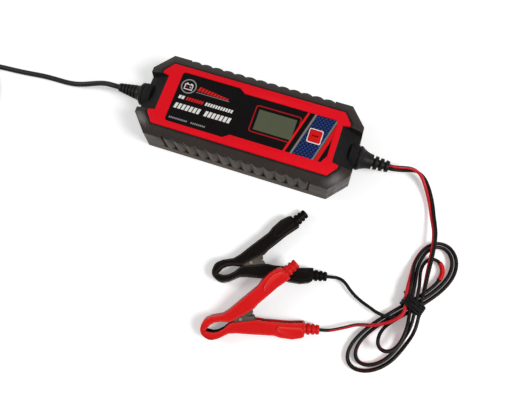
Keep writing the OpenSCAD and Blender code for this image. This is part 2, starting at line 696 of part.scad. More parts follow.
module hank_tie() {
    half = 10;
    color(rubber_black) translate([hank_middle[0], hank_middle[1], 0]) rotate([0, 0, hank_axis - 90])
        rotate([90, 0, 0]) translate([0, 0, -2.5]) linear_extrude(5) difference() {
            translate([-half, 0.1]) offset(r = 2, $fn = 24) translate([2, 2]) square([2 * half - 4, 13.6 - 4]);
            translate([-half + 0.8, 0.9]) offset(r = 1.4, $fn = 24) translate([1.4, 1.4])
                square([2 * half - 1.6 - 2.8, 12 - 2.8]);
        }
}

module black_lead() {
    color(rubber_black) sweep(rolled(concat(black_route, [lead_point(false)]), 0), core_diameter / 2 - 0.05,
        core_diameter / 2 - 0.05, 8);
}

module red_lead() {
    color(bright_red) sweep(rolled(concat(red_route, [lead_point(true)]), 0), core_diameter / 2 - 0.05,
        core_diameter / 2 - 0.05, 8);
}

// ---- clamps ----

module at_clamp(red) {
    if (red) {
        translate([red_place[0], red_place[1], 0]) rotate([0, 0, red_angle])
            translate([tilt_point[0], tilt_point[1], 0])
                rotate(a = red_tilt, v = [cos(tilt_line), sin(tilt_line), 0])
                    translate([-tilt_point[0], -tilt_point[1], 0]) children();
    } else {
        translate([black_place[0], black_place[1], 0]) rotate([0, 0, black_angle]) children();
    }
}

// point of a clamp in the row's frame, from its place in the clamp's own frame
function turn_z(p, a) = [p[0] * cos(a) - p[1] * sin(a), p[0] * sin(a) + p[1] * cos(a), p[2]];
function tilted(p) = let (c = [tilt_point[0], tilt_point[1], 0], d = [cos(tilt_line), sin(tilt_line), 0], q = p - c)
    c + q * cos(red_tilt) + cross(d, q) * sin(red_tilt) + d * (d * q) * (1 - cos(red_tilt));
function clamp_point(red, p) = red ? [red_place[0], red_place[1], 0] + turn_z(tilted(p), red_angle)
    : [black_place[0], black_place[1], 0] + turn_z(p, black_angle);
stub_end = stub_start + stub_length * [cos(handle_angle), sin(handle_angle)];
function lead_point(red) = clamp_point(red, [stub_end[0], -stub_end[1], clamp_thickness / 2]);

module arm_outline() {
    polygon(concat(arm_outer, arm_inner));
}

module arm_inset(d) {
    offset(delta = -d) arm_outline();
}

module stub() {
    translate([stub_start[0], stub_start[1], clamp_thickness / 2]) rotate([0, 0, handle_angle]) rotate([0, 90, 0])
        rotate_extrude() polygon([[0, -1], [5.2, -1], [5.2, 1.6], [3.9, 2], [3.9, 3.2], [4.8, 3.6], [4.7, 5.6],
            [3.7, 6], [3.7, 7.2], [4.5, 7.6], [4.4, 9.4], [3.4, 9.8], [3.4, 10.8], [4.1, 11.2], [3.9, 13.1],
            [3.4, stub_length], [0, stub_length]]);
}

// insulating cover of one arm: a channel open on its inner side, hollow round the hinge
module cover() {
    difference() {
        union() {
            linear_extrude(clamp_thickness) arm_outline();
            stub();
        }
        translate([0, 0, cover_wall]) linear_extrude(clamp_thickness - 2 * cover_wall) {
            arm_inset(cover_wall);
            translate([0.9, -2.2]) arm_inset(cover_wall);
        }
        translate([0, 0, cover_wall]) cylinder(h = clamp_thickness - 2 * cover_wall, r = ear_radius + 1.6);
        translate([0, 0, -1]) cylinder(h = clamp_thickness + 2, r = rivet_radius + 0.5);
    }
}

// pressed metal of one arm: two side plates with ears, and the web along the outer edge
module jaw_metal(step) {
    low = cover_wall + ear_gap + step;
    high = clamp_thickness - low;
    difference() {
        union() {
            for (z = [low, high - sheet]) translate([0, 0, z]) linear_extrude(sheet) {
                arm_inset(cover_wall + ear_gap);
                circle(ear_radius);
                polygon([[0, -2], [-8, 0.6], [-8, 4], [12, 8], [11, 1]]);
            }
            translate([0, 0, low]) linear_extrude(high - low) intersection() {
                difference() {
                    arm_inset(cover_wall + ear_gap);
                    arm_inset(cover_wall + ear_gap + sheet);
                }
                polygon([[-40, 5], [-20, 5.6], [-13, 5], [0, 8], [44, 27], [44, 40], [-40, 40]]);
            }
        }
        translate([0, 0, -1]) cylinder(h = clamp_thickness + 2, r = rivet_radius + 0.05);
    }
}

module rivet() {
    top = clamp_thickness - cover_wall - ear_gap;
    color(steel) {
        translate([0, 0, cover_wall + ear_gap - 0.7]) cylinder(h = top - cover_wall - ear_gap + 1.4, r = rivet_radius);
        translate([0, 0, top + 0.05]) cylinder(h = 0.7, r1 = rivet_radius + 0.4, r2 = rivet_radius);
        translate([0, 0, cover_wall + ear_gap - 0.75]) cylinder(h = 0.7, r1 = rivet_radius, r2 = rivet_radius + 0.4);
    }
}

// torsion spring: turns round the rivet and a leg along each handle
spring_wire = 0.9;
spring_radius = 3.1;
leg_angle = 34;
leg_length = 24;
module clamp_spring() {
    pitch = spring_wire + 0.1;
    start = -90 - leg_angle + 18;
    travel = 360 * 3 - 2 * (90 + leg_angle - 18);
    steps = 20;
    turns = [for (i = [0:steps])
        let (a = start - travel * i / steps)
        [spring_radius * cos(a), spring_radius * sin(a),
            clamp_thickness / 2 + pitch * travel / 360 * (i / steps - 0.5)]];
    leg = leg_length * [cos(leg_angle), sin(leg_angle)];
    route = concat([turns[0] + [leg[0], -leg[1], 0]], turns, [turns[steps] + [leg[0], leg[1], 0]]);
    color(steel) sweep(rolled(route, 0), spring_wire / 2, spring_wire / 2, 6);
}

module lower_arm() {
    mirror([0, 1, 0]) children();
}

module black_lower_cover() {
    color(rubber_black) at_clamp(false) lower_arm() cover();
}
module black_upper_cover() {
    color(rubber_black) at_clamp(false) cover();
}
module black_lower_jaw() {
    color(steel) at_clamp(false) lower_arm() jaw_metal(0);
}
module black_upper_jaw() {
    color(steel) at_clamp(false) jaw_metal(sheet + ear_gap);
}
module black_rivet() {
    at_clamp(false) rivet();
}
module black_spring() {
    at_clamp(false) clamp_spring();
}
module red_lower_cover() {
    color(bright_red) at_clamp(true) lower_arm() cover();
}
module red_upper_cover() {
    color(bright_red) at_clamp(true) cover();
}
module red_lower_jaw() {
    color(steel) at_clamp(true) lower_arm() jaw_metal(0);
}
module red_upper_jaw() {
    color(steel) at_clamp(true) jaw_metal(sheet + ear_gap);
}
module red_rivet() {
    at_clamp(true) rivet();
}
module red_spring() {
    at_clamp(true) clamp_spring();
}

lower_case();
upper_case();
top_bezel();
facia_plate();
display_lens();
display_module();
button_frame();
mode_button();
tactile_switch();
display_board();
board_link();
main_board();
board_screws();
transformer();
mains_capacitor();
output_capacitors();
heat_sink();
power_transistor();
mains_fuse();
case_screws();
rubber_feet();
case_seal();
mains_boot();
output_boot();
mains_inner_leads();
output_inner_leads();
mains_cord();
mains_coil();
plug_body();
plug_pins();
output_cord();
output_hank();
hank_tie();
black_lead();
red_lead();
black_lower_cover();
black_upper_cover();
black_lower_jaw();
black_upper_jaw();
black_rivet();
black_spring();
red_lower_cover();
red_upper_cover();
red_lower_jaw();
red_upper_jaw();
red_rivet();
red_spring();
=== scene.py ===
"""Battery charger: moulded case, red bezel, mains cord, twin output cord and two clamps."""
import bpy
import bmesh
import json
from math import cos, degrees, pi, radians, sin
from mathutils import Matrix, Vector


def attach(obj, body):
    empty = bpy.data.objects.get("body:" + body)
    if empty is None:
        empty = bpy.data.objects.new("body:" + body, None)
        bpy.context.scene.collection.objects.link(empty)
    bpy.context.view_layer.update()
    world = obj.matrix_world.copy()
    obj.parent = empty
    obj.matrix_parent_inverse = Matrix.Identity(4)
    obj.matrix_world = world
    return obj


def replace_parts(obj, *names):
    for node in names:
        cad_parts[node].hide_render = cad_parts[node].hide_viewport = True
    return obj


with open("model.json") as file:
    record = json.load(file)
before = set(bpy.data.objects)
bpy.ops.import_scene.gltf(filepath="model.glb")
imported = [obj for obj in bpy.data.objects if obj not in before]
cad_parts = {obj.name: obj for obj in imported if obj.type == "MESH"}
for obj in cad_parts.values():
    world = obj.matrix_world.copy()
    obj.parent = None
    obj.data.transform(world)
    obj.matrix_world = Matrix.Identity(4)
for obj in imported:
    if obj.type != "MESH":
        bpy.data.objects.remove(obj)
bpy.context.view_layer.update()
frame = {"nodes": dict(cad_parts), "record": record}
MM = 0.001


def placed(name, data):
    """A new object in the scene."""
    made = bpy.data.objects.new(name, data)
    bpy.context.scene.collection.objects.link(made)
    return made


# ---------------------------------------------------------------- camera

SENSOR_WIDTH = 36
VIEW_WIDTH, FOCAL_LENGTH = 505, 461.7  # both in pixels
CAMERA_PLACE = (0.0706, -0.1611, 0.4001)

camera_data = bpy.data.cameras.new("studio camera")
camera_data.sensor_fit = "HORIZONTAL"
camera_data.sensor_width = SENSOR_WIDTH
camera_data.lens = SENSOR_WIDTH * FOCAL_LENGTH / VIEW_WIDTH
camera_data.clip_start = 0.01
camera = placed("studio camera", camera_data)
camera_right = Vector((0.9475, 0.3183, -0.0317))
camera_back = Vector((0.1111, -0.2348, 0.9657)).normalized()
camera_up = camera_back.cross(camera_right).normalized()
camera_right = camera_up.cross(camera_back)
camera.matrix_world = Matrix.Translation(CAMERA_PLACE) @ Matrix(
    (camera_right, camera_up, camera_back)).transposed().to_4x4()
bpy.context.scene.camera = camera

# ---------------------------------------------------------------- cord routes, in millimetres

BOOT_HEIGHT = 18
OUTPUT_BOOT_END = 128.2
MAINS_BOOT_END = 126.5
CORE = 2.8
CORE_APART = 0.49  # half the distance between the two cores' middles, as a share of CORE
MAINS = 4.8
MAINS_REST = 2.5

mains_route = [(-MAINS_BOOT_END, 0, BOOT_HEIGHT), (-132, 0, 17.8), (-139, 0.6, 16), (-146, 1, 13),
    (-154, 0.5, 9.4), (-162, -0.8, 6.2), (-170, -2.4, 4), (-178, -3.8, 2.9), (-187, -4.5, 2.5),
    (-198, -4.6, 2.5), (-210, -5, 2.5), (-222, -6.2, 2.5), (-234, -7.4, 2.5), (-246, -8.2, 2.5),
    (-258, -9, 2.5), (-270, -10.8, 2.5), (-276, -12, 2.5), (-280, -12.5, 2.5), (-285, -12.5, 2.5)]
# the coil, in turns and in steps for each turn: it climbs onto itself half way through
COIL_RADIUS = 38
COIL_TURNS = 3.5
COIL_EXTRA = 0.25
COIL_CLIMB = 0.5
COIL_PITCH = 5.3
COIL_STEPS = 24
COIL_CENTRE = (-290, -12.5 - COIL_RADIUS)
# the tail: how far back from the coil, and the share of the climb to the plug's height
COIL_TAIL = ((6, 0), (14, 0.1), (22, 0.8), (29, 1), (35, 1))
PLUG_HEIGHT = 6.95

# x, y, z and roll in degrees: 0 lies flat, -90 has the red core on top, -270 has it underneath
output_route = [(OUTPUT_BOOT_END, 0, BOOT_HEIGHT, 0), (133, 0.2, 18, 0), (140, 2.2, 16.8, -12),
    (146, 4.4, 15.2, -45), (151.5, 5.6, 13.2, -85), (156.6, 5.2, 10.8, -110),
    (161.2, 2.8, 8.8, -135), (165, -1.2, 7.2, -155), (168.4, -6.2, 6.2, -172),
    (172, -12.7, 5.4, -190), (175, -20, 5.4, -205), (177.5, -28, 6.2, -217),
    (179.5, -34.6, 7.6, -225), (181.1, -40.4, 8.7, -230)]
hank_start = [(182.1, -46, 9.2, -233), (182.8, -51.6, 9.4, -236), (183.1, -57.4, 9.4, -239),
    (183.3, -64, 9.3, -242), (183.4, -71, 9.3, -246), (183.5, -78, 9.4, -251),
    (183.6, -86, 9.7, -257), (183.7, -94, 10.1, -264), (183.7, -101, 10.2, -270)]
hank_end = [(172.1, -107.5, 10.2, -100), (172.2, -111.5, 10.2, -90)]
LEAN = Vector((-0.26, -0.18, 0.95))  # the way the twin cord's flat side faces where it lies flat
HANK_MIDDLE = (178.1, -107)
HANK_AXIS = radians(70)
HANK_WIDTH = 0.43
HANK_ROLL = -270
LOBE_STEPS = 24
OVER_LOBE, LAST_LOBE = 4, 5  # counted from 0
# heights: the two layers at the waist, the loops at rest, and the lobe that passes over the rest
LOW, HIGH, FLOOR, OVER = 4, 10.2, 3, 13
SINK_FROM, SINK_OVER = 14, 20  # distance from the waist
RISE_FROM, RISE_OVER = 4, 14
FALL_FROM, FALL_OVER = 114, 38  # degrees along the lobe
# the last lobe's turns towards the leads, in degrees: how much, from where, over how long
LAST_ROLLS = ((12, 100, 30), (100, 150, 30))
# side, length, swing in degrees, widening and the places at the waist that the lobe runs between
hank_lobes = [(-1, 70.4, -10.5, -0.14, 6.375, -3.7), (1, 45.4, 3.5, 0.06, -3.7, 2.125),
    (-1, 63.4, -9, -0.11, 2.125, 0), (1, 57.6, 2.5, -0.03, 0, -2.125),
    (-1, 44.8, -3.5, 0.01, -2.125, 3.7), (1, 61.2, 1.5, -0.045, 3.7, -6.375)]
red_route = [(172.2, -111.5, 11.6), (171.6, -115, 11.5), (170.2, -118.4, 11.2),
    (167.4, -121.8, 10.6), (163.8, -125, 9.6), (159.6, -128, 8.6), (154.6, -130.9, 8.1),
    (149.4, -132.9, 7.8), (144, -134.4, 7.6), (138, -136.6, 7.4), (131, -140.8, 7.1),
    (125, -144.3, 6.9), (119.8, -147, 7), (115.2, -148.6, 7.1), (110.98, -149.62, 7.18)]
black_route = [(172.2, -111.5, 8.8), (172.8, -115.5, 8.8), (171, -118.4, 8.7),
    (167.4, -120.4, 8.4), (163, -121.8, 8), (159, -122.2, 7.8), (155, -121.8, 7.7),
    (150.5, -121, 7.5), (146, -119.4, 7), (139, -117, 6.2), (132.4, -114, 5.8),
    (127, -110.6, 5.6), (122.4, -106.9, 5.5), (118, -104.6, 5.5), (113.5, -104.1, 5.5),
    (109.2, -105, 5.5), (104.98, -105.92, 5.5)]


def ease(t):
    return 0 if t <= 0 else 1 if t >= 1 else (1 - cos(pi * t)) / 2


def mix(a, b, t):
    return a + (b - a) * t


def smooth_route(points, steps):
    """Passes a smooth curve through the points, with steps pieces from each to the next."""
    points = [Vector(p) for p in points]
    last = len(points) - 1
    made = []
    for i in range(last):
        a, b, c, d = points[max(i - 1, 0)], points[i], points[i + 1], points[min(i + 2, last)]
        for k in range(steps):
            t = k / steps
            made.append(0.5 * ((2 * b) + (c - a) * t + (2 * a - 5 * b + 4 * c - d) * t * t
                + (3 * b - a - 3 * c + d) * t * t * t))
    return made + [points[-1]]


def heading(points, i):
    """The way a route runs at its point i."""
    way = Vector(points[min(i + 1, len(points) - 1)]) - Vector(points[max(i - 1, 0)])
    return way.to_3d().normalized()


def coil_route():
    """The mains cord's coil, inwards on the surface and outwards on top of it, then the tail."""
    made = []
    travel = 2 * COIL_TURNS + COIL_EXTRA
    for i in range(int(COIL_STEPS * travel) + 1):
        t = i / COIL_STEPS
        r = COIL_RADIUS - COIL_PITCH * (t if t <= COIL_TURNS else 2 * COIL_TURNS - t)
        z = MAINS_REST + COIL_PITCH * ease((t - COIL_TURNS + COIL_CLIMB / 2) / COIL_CLIMB)
        a = pi / 2 + 2 * pi * t
        made.append((COIL_CENTRE[0] + r * cos(a), COIL_CENTRE[1] + r * sin(a), z))
    last = made[-1]
    for back, lift in COIL_TAIL:
        made.append((last[0], last[1] - back, mix(last[2], PLUG_HEIGHT, lift)))
    return made


def lobe_route(number, side, size, swing, widen, start, end):
    """One lobe of the hank with its roll, from the waist out and back."""
    made = []
    for i in range(1, LOBE_STEPS + 1):
        s = pi * i / LOBE_STEPS
        bow = sin(s) ** 2 if side > 0 else sin(s)
        a = HANK_AXIS + radians(swing) * bow
        u, v = size * sin(s), size * (HANK_WIDTH + widen * bow) / 2 * sin(2 * s)
        along = mix(start, end, (1 - cos(s)) / 2)
        outward = s < pi / 2 - 1e-6
        layer = LOW if outward == (side > 0) else HIGH
        z = mix(FLOOR, layer, 1 - ease((u - SINK_FROM) / SINK_OVER))
        if number == OVER_LOBE:
            over = mix(OVER, LOW, ease((degrees(s) - FALL_FROM) / FALL_OVER))
            z = mix(HIGH, over, ease((u - RISE_FROM) / RISE_OVER)) if outward else over
        roll = HANK_ROLL
        if number == LAST_LOBE:
            roll += sum(turn * ease((degrees(s) - begin) / run) for turn, begin, run in LAST_ROLLS)
        made.append((HANK_MIDDLE[0] + along * sin(HANK_AXIS) + u * side * cos(a) + v * sin(a),
            HANK_MIDDLE[1] - along * cos(HANK_AXIS) + u * side * sin(a) - v * cos(a), z, roll))
    return made


twin_route = output_route + hank_start
for number, lobe in enumerate(hank_lobes):
    twin_route += lobe_route(number, *lobe)
twin_route += hank_end


def core_route(side):
    """One core of the twin cord: side 1 for the black one and -1 for the red one."""
    middle = smooth_route(twin_route, steps=3)
    made = []
    for i, p in enumerate(middle):
        ahead = heading(middle, i)
        across = ahead.cross(LEAN).normalized()
        over = across.cross(ahead)
        roll = radians(p[3])
        made.append(p.to_3d() + side * CORE_APART * CORE * (across * cos(roll) + over * sin(roll)))
    return made


def tube(name, points, diameter, rings=4):
    """A round cord or wire along points given in millimetres."""
    curve = bpy.data.curves.new(name, "CURVE")
    curve.dimensions = "3D"
    curve.bevel_depth = diameter / 2 * MM
    curve.bevel_resolution = rings
    curve.use_fill_caps = True
    line = curve.splines.new("POLY")
    line.points.add(len(points) - 1)
    for spot, p in zip(line.points, points):
        spot.co = (p[0] * MM, p[1] * MM, p[2] * MM, 1)
    line.use_smooth = True
    return placed(name, curve)


mains_points = smooth_route(mains_route + coil_route(), steps=2)
mains_cord = tube("mains_cord_moulded", mains_points, MAINS, rings=5)
black_points = core_route(1) + smooth_route(black_route, steps=4)[1:]
red_points = core_route(-1) + smooth_route(red_route, steps=4)[1:]
black_core = tube("black_core", black_points, CORE)
red_core = tube("red_core", red_points, CORE)

# ---------------------------------------------------------------- stage and light

WHITE, BLACK = (1, 1, 1, 1), (0, 0, 0, 1)
ROOM_LIGHT = 0.36
FLOOR_PAPER = (0.93, 0.93, 0.93, 1)
FLOOR_SIZE = 6
# the floor's own glow: the distances from the middle, in metres, and the levels it runs between
GLOW_REACH, GLOW = (0.36, 0.85), (0.24, 0.9)


def lamp(name, place, towards, size, power):
    data = bpy.data.lights.new(name, "AREA")
    data.shape = "SQUARE"
    data.size = size
    data.energy = power
    made = placed(name, data)
    aim = (Vector(towards) - Vector(place)).to_track_quat("-Z", "Y")
    made.matrix_world = Matrix.Translation(place) @ aim.to_matrix().to_4x4()
    return made


def put(tree, kind, *inputs, **settings):
    """Adds a node. Inputs fill its sockets in order: None leaves one alone, a socket is linked."""
    made = tree.nodes.new(kind)
    for key, value in settings.items():
        setattr(made, key, value)
    for socket, value in zip(made.inputs, inputs):
        if isinstance(value, bpy.types.NodeSocket):
            tree.links.new(value, socket)
        elif value is not None:
            socket.default_value = value
    return made


def maths(tree, operation, a, b=None, clamp=False):
    return put(tree, "ShaderNodeMath", a, b, operation=operation, use_clamp=clamp).outputs[0]


def product(tree, a, b):
    return maths(tree, "MULTIPLY", a, b)


def spread(tree, value, low, high, out_low=0, out_high=1):
    """Runs from out_low to out_high as the value goes from low to high."""
    return put(tree, "ShaderNodeMapRange", value, low, high, out_low, out_high).outputs[0]


def own_place(tree):
    return put(tree, "ShaderNodeTexCoord").outputs["Object"]


def axes_of(tree, vector):
    return put(tree, "ShaderNodeSeparateXYZ", vector).outputs


def tint(r, g, b):
    """Turns a colour as seen on a screen, 0 to 255, into light, by the standard screen curve."""
    return tuple((v / 255 / 12.92) if v / 255 <= 0.04045 else ((v / 255 + 0.055) / 1.055) ** 2.4
        for v in (r, g, b)) + (1,)


def blend(tree, mask, a, b, kind="MIX"):
    """Colour a where the mask is 0 and b where it is 1."""
    made = tree.nodes.new("ShaderNodeMix")
    made.data_type = "RGBA"
    made.blend_type = kind
    for index, value in ((0, mask), (6, a), (7, b)):
        if isinstance(value, bpy.types.NodeSocket):
            tree.links.new(value, made.inputs[index])
        else:
            made.inputs[index].default_value = value
    return made.outputs[2]


world = bpy.data.worlds.new("studio")
bpy.context.scene.world = world
world.use_nodes = True
sky = world.node_tree
sky.nodes.clear()
seen = put(sky, "ShaderNodeLightPath").outputs
plain = maths(sky, "MAXIMUM", seen["Is Camera Ray"], seen["Is Glossy Ray"])
plain = maths(sky, "MAXIMUM", plain, seen["Is Transmission Ray"])
dim = put(sky, "ShaderNodeBackground", WHITE, ROOM_LIGHT)
bright = put(sky, "ShaderNodeBackground", WHITE, 1)
both = put(sky, "ShaderNodeMixShader", plain, dim.outputs[0], bright.outputs[0])
put(sky, "ShaderNodeOutputWorld", both.outputs[0])

floor_mesh = bmesh.new()
bmesh.ops.create_grid(floor_mesh, x_segments=1, y_segments=1, size=FLOOR_SIZE)
floor_data = bpy.data.meshes.new("floor")
floor_mesh.to_mesh(floor_data)
floor_mesh.free()
floor = placed("floor", floor_data)
floor_finish = bpy.data.materials.new("white floor")
floor_finish.use_nodes = True
ground = floor_finish.node_tree
ground.nodes.clear()
paper = put(ground, "ShaderNodeBsdfDiffuse", FLOOR_PAPER)
far = put(ground, "ShaderNodeVectorMath", own_place(ground), operation="LENGTH").outputs["Value"]
lift = put(ground, "ShaderNodeEmission", WHITE, spread(ground, far, *GLOW_REACH, *GLOW))
shown = put(ground, "ShaderNodeLightPath").outputs["Is Camera Ray"]
unlit = put(ground, "ShaderNodeEmission", BLACK, 0)
extra = put(ground, "ShaderNodeMixShader", shown, unlit.outputs[0], lift.outputs[0])
put(ground, "ShaderNodeOutputMaterial",
    put(ground, "ShaderNodeAddShader", paper.outputs[0], extra.outputs[0]).outputs[0])
floor_data.materials.append(floor_finish)

stage_pieces = [floor,
    lamp("left softbox", (-0.8, -0.17, 0.56), (-0.06, -0.035, 0.03), size=0.32, power=3.2),
    lamp("right softbox", (0.613, -0.165, 0.69), (0.088, -0.027, 0.033), size=0.3, power=5.0)]

# ---------------------------------------------------------------- shared effects

FLOAT, COLOUR = "NodeSocketFloat", "NodeSocketColor"
DUST_TONE = (0.55, 0.52, 0.48, 1)
TARNISH_TONE = (0.09, 0.08, 0.07, 1)
CLOUD_LIGHT = (0.75, 0.75, 0.75, 1)
DRAWN_TURN, DRAWN_STRETCH = (0, 0, 0.6), (0.06, 1, 1)
WEAVE_TURN = (0, 0, radians(-5))


def group(name, inputs, outputs):
    made = bpy.data.node_groups.new(name, "ShaderNodeTree")
    for title, kind, value in inputs:
        socket = made.interface.new_socket(name=title, in_out="INPUT", socket_type=kind)
        socket.default_value = value
    for title, kind in outputs:
        made.interface.new_socket(name=title, in_out="OUTPUT", socket_type=kind)
    return made, put(made, "NodeGroupInput").outputs, put(made, "NodeGroupOutput")


def close(tree, out, **values):
    for title, value in values.items():
        tree.links.new(value, out.inputs[title])


def noise(tree, place, scale, detail, roughness):
    return put(tree, "ShaderNodeTexNoise", place, None, scale, detail, roughness).outputs[0]


def moulded_effect():
    """Fine spark-eroded grain, cloudy tone and a little dust for plastic and rubber."""
    tree, given, out = group("moulded effect", [("Colour", COLOUR, (0.5, 0.5, 0.5, 1)),
        ("Grain", FLOAT, 2500), ("Cloud", FLOAT, 0.1), ("Roughness", FLOAT, 0.5),
        ("Dust", FLOAT, 0.05)],
        [("Colour", COLOUR), ("Roughness", FLOAT), ("Height", FLOAT)])
    place = own_place(tree)
    fine = noise(tree, place, given["Grain"], detail=3, roughness=0.6)
    cloud = noise(tree, place, scale=45, detail=4, roughness=0.55)
    specks = noise(tree, place, scale=420, detail=5, roughness=0.7)
    upward = axes_of(tree, put(tree, "ShaderNodeNewGeometry").outputs["Normal"])[2]
    toned = blend(tree, given["Cloud"], given["Colour"],
        blend(tree, spread(tree, cloud, 0.3, 0.7), BLACK, CLOUD_LIGHT), "OVERLAY")
    settled = product(tree, spread(tree, specks, 0.5, 0.75), maths(tree, "MAXIMUM", upward, 0.0))
    dusted = blend(tree, product(tree, settled, given["Dust"]), toned, DUST_TONE)
    uneven = spread(tree, cloud, 0.3, 0.7, -0.06, 0.08)
    rough = maths(tree, "ADD", given["Roughness"], uneven, clamp=True)
    close(tree, out, Colour=dusted, Roughness=rough, Height=fine)
    return tree


def metal_effect():
    """Rolling lines and dull, darker tarnished patches for bright metal."""
    tree, given, out = group("metal effect", [("Colour", COLOUR, (0.6, 0.6, 0.6, 1)),
        ("Lines", FLOAT, 900), ("Roughness", FLOAT, 0.3), ("Tarnish", FLOAT, 0.3)],
        [("Colour", COLOUR), ("Roughness", FLOAT), ("Height", FLOAT)])
    place = own_place(tree)
    drawn = put(tree, "ShaderNodeMapping", place, None, DRAWN_TURN, DRAWN_STRETCH).outputs[0]
    lines = noise(tree, drawn, given["Lines"], detail=3, roughness=0.6)
    patch = noise(tree, place, scale=160, detail=4, roughness=0.6)
    dull = product(tree, spread(tree, patch, 0.42, 0.68), given["Tarnish"])
    colour = blend(tree, dull, given["Colour"], blend(tree, 0.6, given["Colour"], TARNISH_TONE))
    rough = maths(tree, "ADD", given["Roughness"], product(tree, dull, 0.5))
    rough = maths(tree, "ADD", rough, spread(tree, lines, 0.3, 0.7, -0.05, 0.07), clamp=True)
    close(tree, out, Colour=colour, Roughness=rough, Height=lines)
    return tree


def weave_effect():
    """Flat tows laid as bricks, each crowned along its length, as on carbon weave film."""
    tree, given, out = group("weave effect", [("Length", FLOAT, 0.0034), ("Row", FLOAT, 0.002),
        ("Dark", COLOUR, BLACK), ("Light", COLOUR, WHITE)],
        [("Colour", COLOUR), ("Height", FLOAT)])
    turned = put(tree, "ShaderNodeMapping", own_place(tree), None, WEAVE_TURN).outputs[0]
    axes = axes_of(tree, turned)
    row = maths(tree, "DIVIDE", axes[1], given["Row"])
    odd_row = maths(tree, "FLOORED_MODULO", maths(tree, "FLOOR", row), 2)
    tow = maths(tree, "ADD", maths(tree, "DIVIDE", axes[0], given["Length"]),
        product(tree, odd_row, 0.5))
    along, over = [maths(tree, "SINE", product(tree, maths(tree, "FRACT", w), pi))
        for w in (tow, row)]
    tone = product(tree, spread(tree, along, 0.25, 0.8), spread(tree, over, 0.15, 0.75))
    close(tree, out, Colour=blend(tree, tone, given["Dark"], given["Light"]), Height=tone)
    return tree


MOULDED, METAL, WEAVE = moulded_effect(), metal_effect(), weave_effect()


def use(tree, effect, **values):
    made = tree.nodes.new("ShaderNodeGroup")
    made.node_tree = effect
    for title, value in values.items():
        if isinstance(value, bpy.types.NodeSocket):
            tree.links.new(value, made.inputs[title])
        else:
            made.inputs[title].default_value = value
    return made.outputs


def surface(name):
    """A new material, its tree and its Principled shader."""
    made = bpy.data.materials.new(name)
    made.use_nodes = True
    tree = made.node_tree
    return made, tree, tree.nodes["Principled BSDF"]


def bumped(tree, shader, height, depth):
    """Raises the surface by a height map, to a depth in metres."""
    made = put(tree, "ShaderNodeBump")
    made.inputs["Strength"].default_value = 1
    made.inputs["Distance"].default_value = depth
    tree.links.new(height, made.inputs["Height"])
    tree.links.new(made.outputs[0], shader.inputs["Normal"])


def dress(tree, shader, colour, roughness, gloss=0.5):
    tree.links.new(colour, shader.inputs["Base Color"])
    tree.links.new(roughness, shader.inputs["Roughness"])
    shader.inputs["Specular IOR Level"].default_value = gloss


def plastic(name, colour, grain, cloud=0.12, roughness=0.45, dust=0.03, depth=0.00004,
        coat=0.0, gloss=0.5):
    made, tree, shader = surface(name)
    look = use(tree, MOULDED, Colour=colour, Grain=grain, Cloud=cloud, Roughness=roughness,
        Dust=dust)
    dress(tree, shader, look["Colour"], look["Roughness"], gloss)
    shader.inputs["Coat Weight"].default_value = coat
    bumped(tree, shader, look["Height"], depth)
    return made


def metal(name, colour, lines, roughness, tarnish):
    made, tree, shader = surface(name)
    look = use(tree, METAL, Colour=colour, Lines=lines, Roughness=roughness, Tarnish=tarnish)
    dress(tree, shader, look["Colour"], look["Roughness"])
    shader.inputs["Metallic"].default_value = 1
    bumped(tree, shader, look["Height"], depth=0.00003)
    return made


# ---------------------------------------------------------------- facia print

# stripes across the facia: sideways lean, then middle and half width in millimetres, and colour
STRIPE_LEAN = 0.267
WEAVE_PANEL = (60.1, 8.4)
STRIPES = ((50.2, 0.95, (118, 116, 116)), (69.2, 0.8, (112, 112, 110)),
    (72.2, 1.75, (205, 20, 25)), (43.9, 0.95, (222, 24, 24)))
# rounded boxes in millimetres: middle, half size and corner radius
DISPLAY_LINE = ((24.5, 0.9), (20.2, 12.5), 2.2)
WINDOW = ((24.5, 0.5), (17, 9.7), 0.4)
# in metres: the line's half width, where it stops short of a stripe, and the shade's width
LINE_HALF, LINE_STOP, WINDOW_SHADE = 0.0005, 0.0432, 0.0022


def slanted(tree, lean, middle, half):
    """Mask of a slanted stripe, middle and half width in millimetres."""
    away = maths(tree, "ABSOLUTE", maths(tree, "SUBTRACT", lean, middle * MM))
    return maths(tree, "LESS_THAN", away, half * MM)


def round_box(tree, x, y, middle, half, radius):
    """Distance to a rounded box, in metres, below zero inside it."""
    gaps = []
    for place, centre, reach in ((x, middle[0], half[0]), (y, middle[1], half[1])):
        away = maths(tree, "ABSOLUTE", maths(tree, "SUBTRACT", place, centre * MM))
        gap = maths(tree, "SUBTRACT", away, (reach - radius) * MM)
        gaps.append(maths(tree, "MAXIMUM", gap, 0))
    diagonal = maths(tree, "SQRT", maths(tree, "ADD", *[product(tree, gap, gap) for gap in gaps]))
    return maths(tree, "SUBTRACT", diagonal, radius * MM)


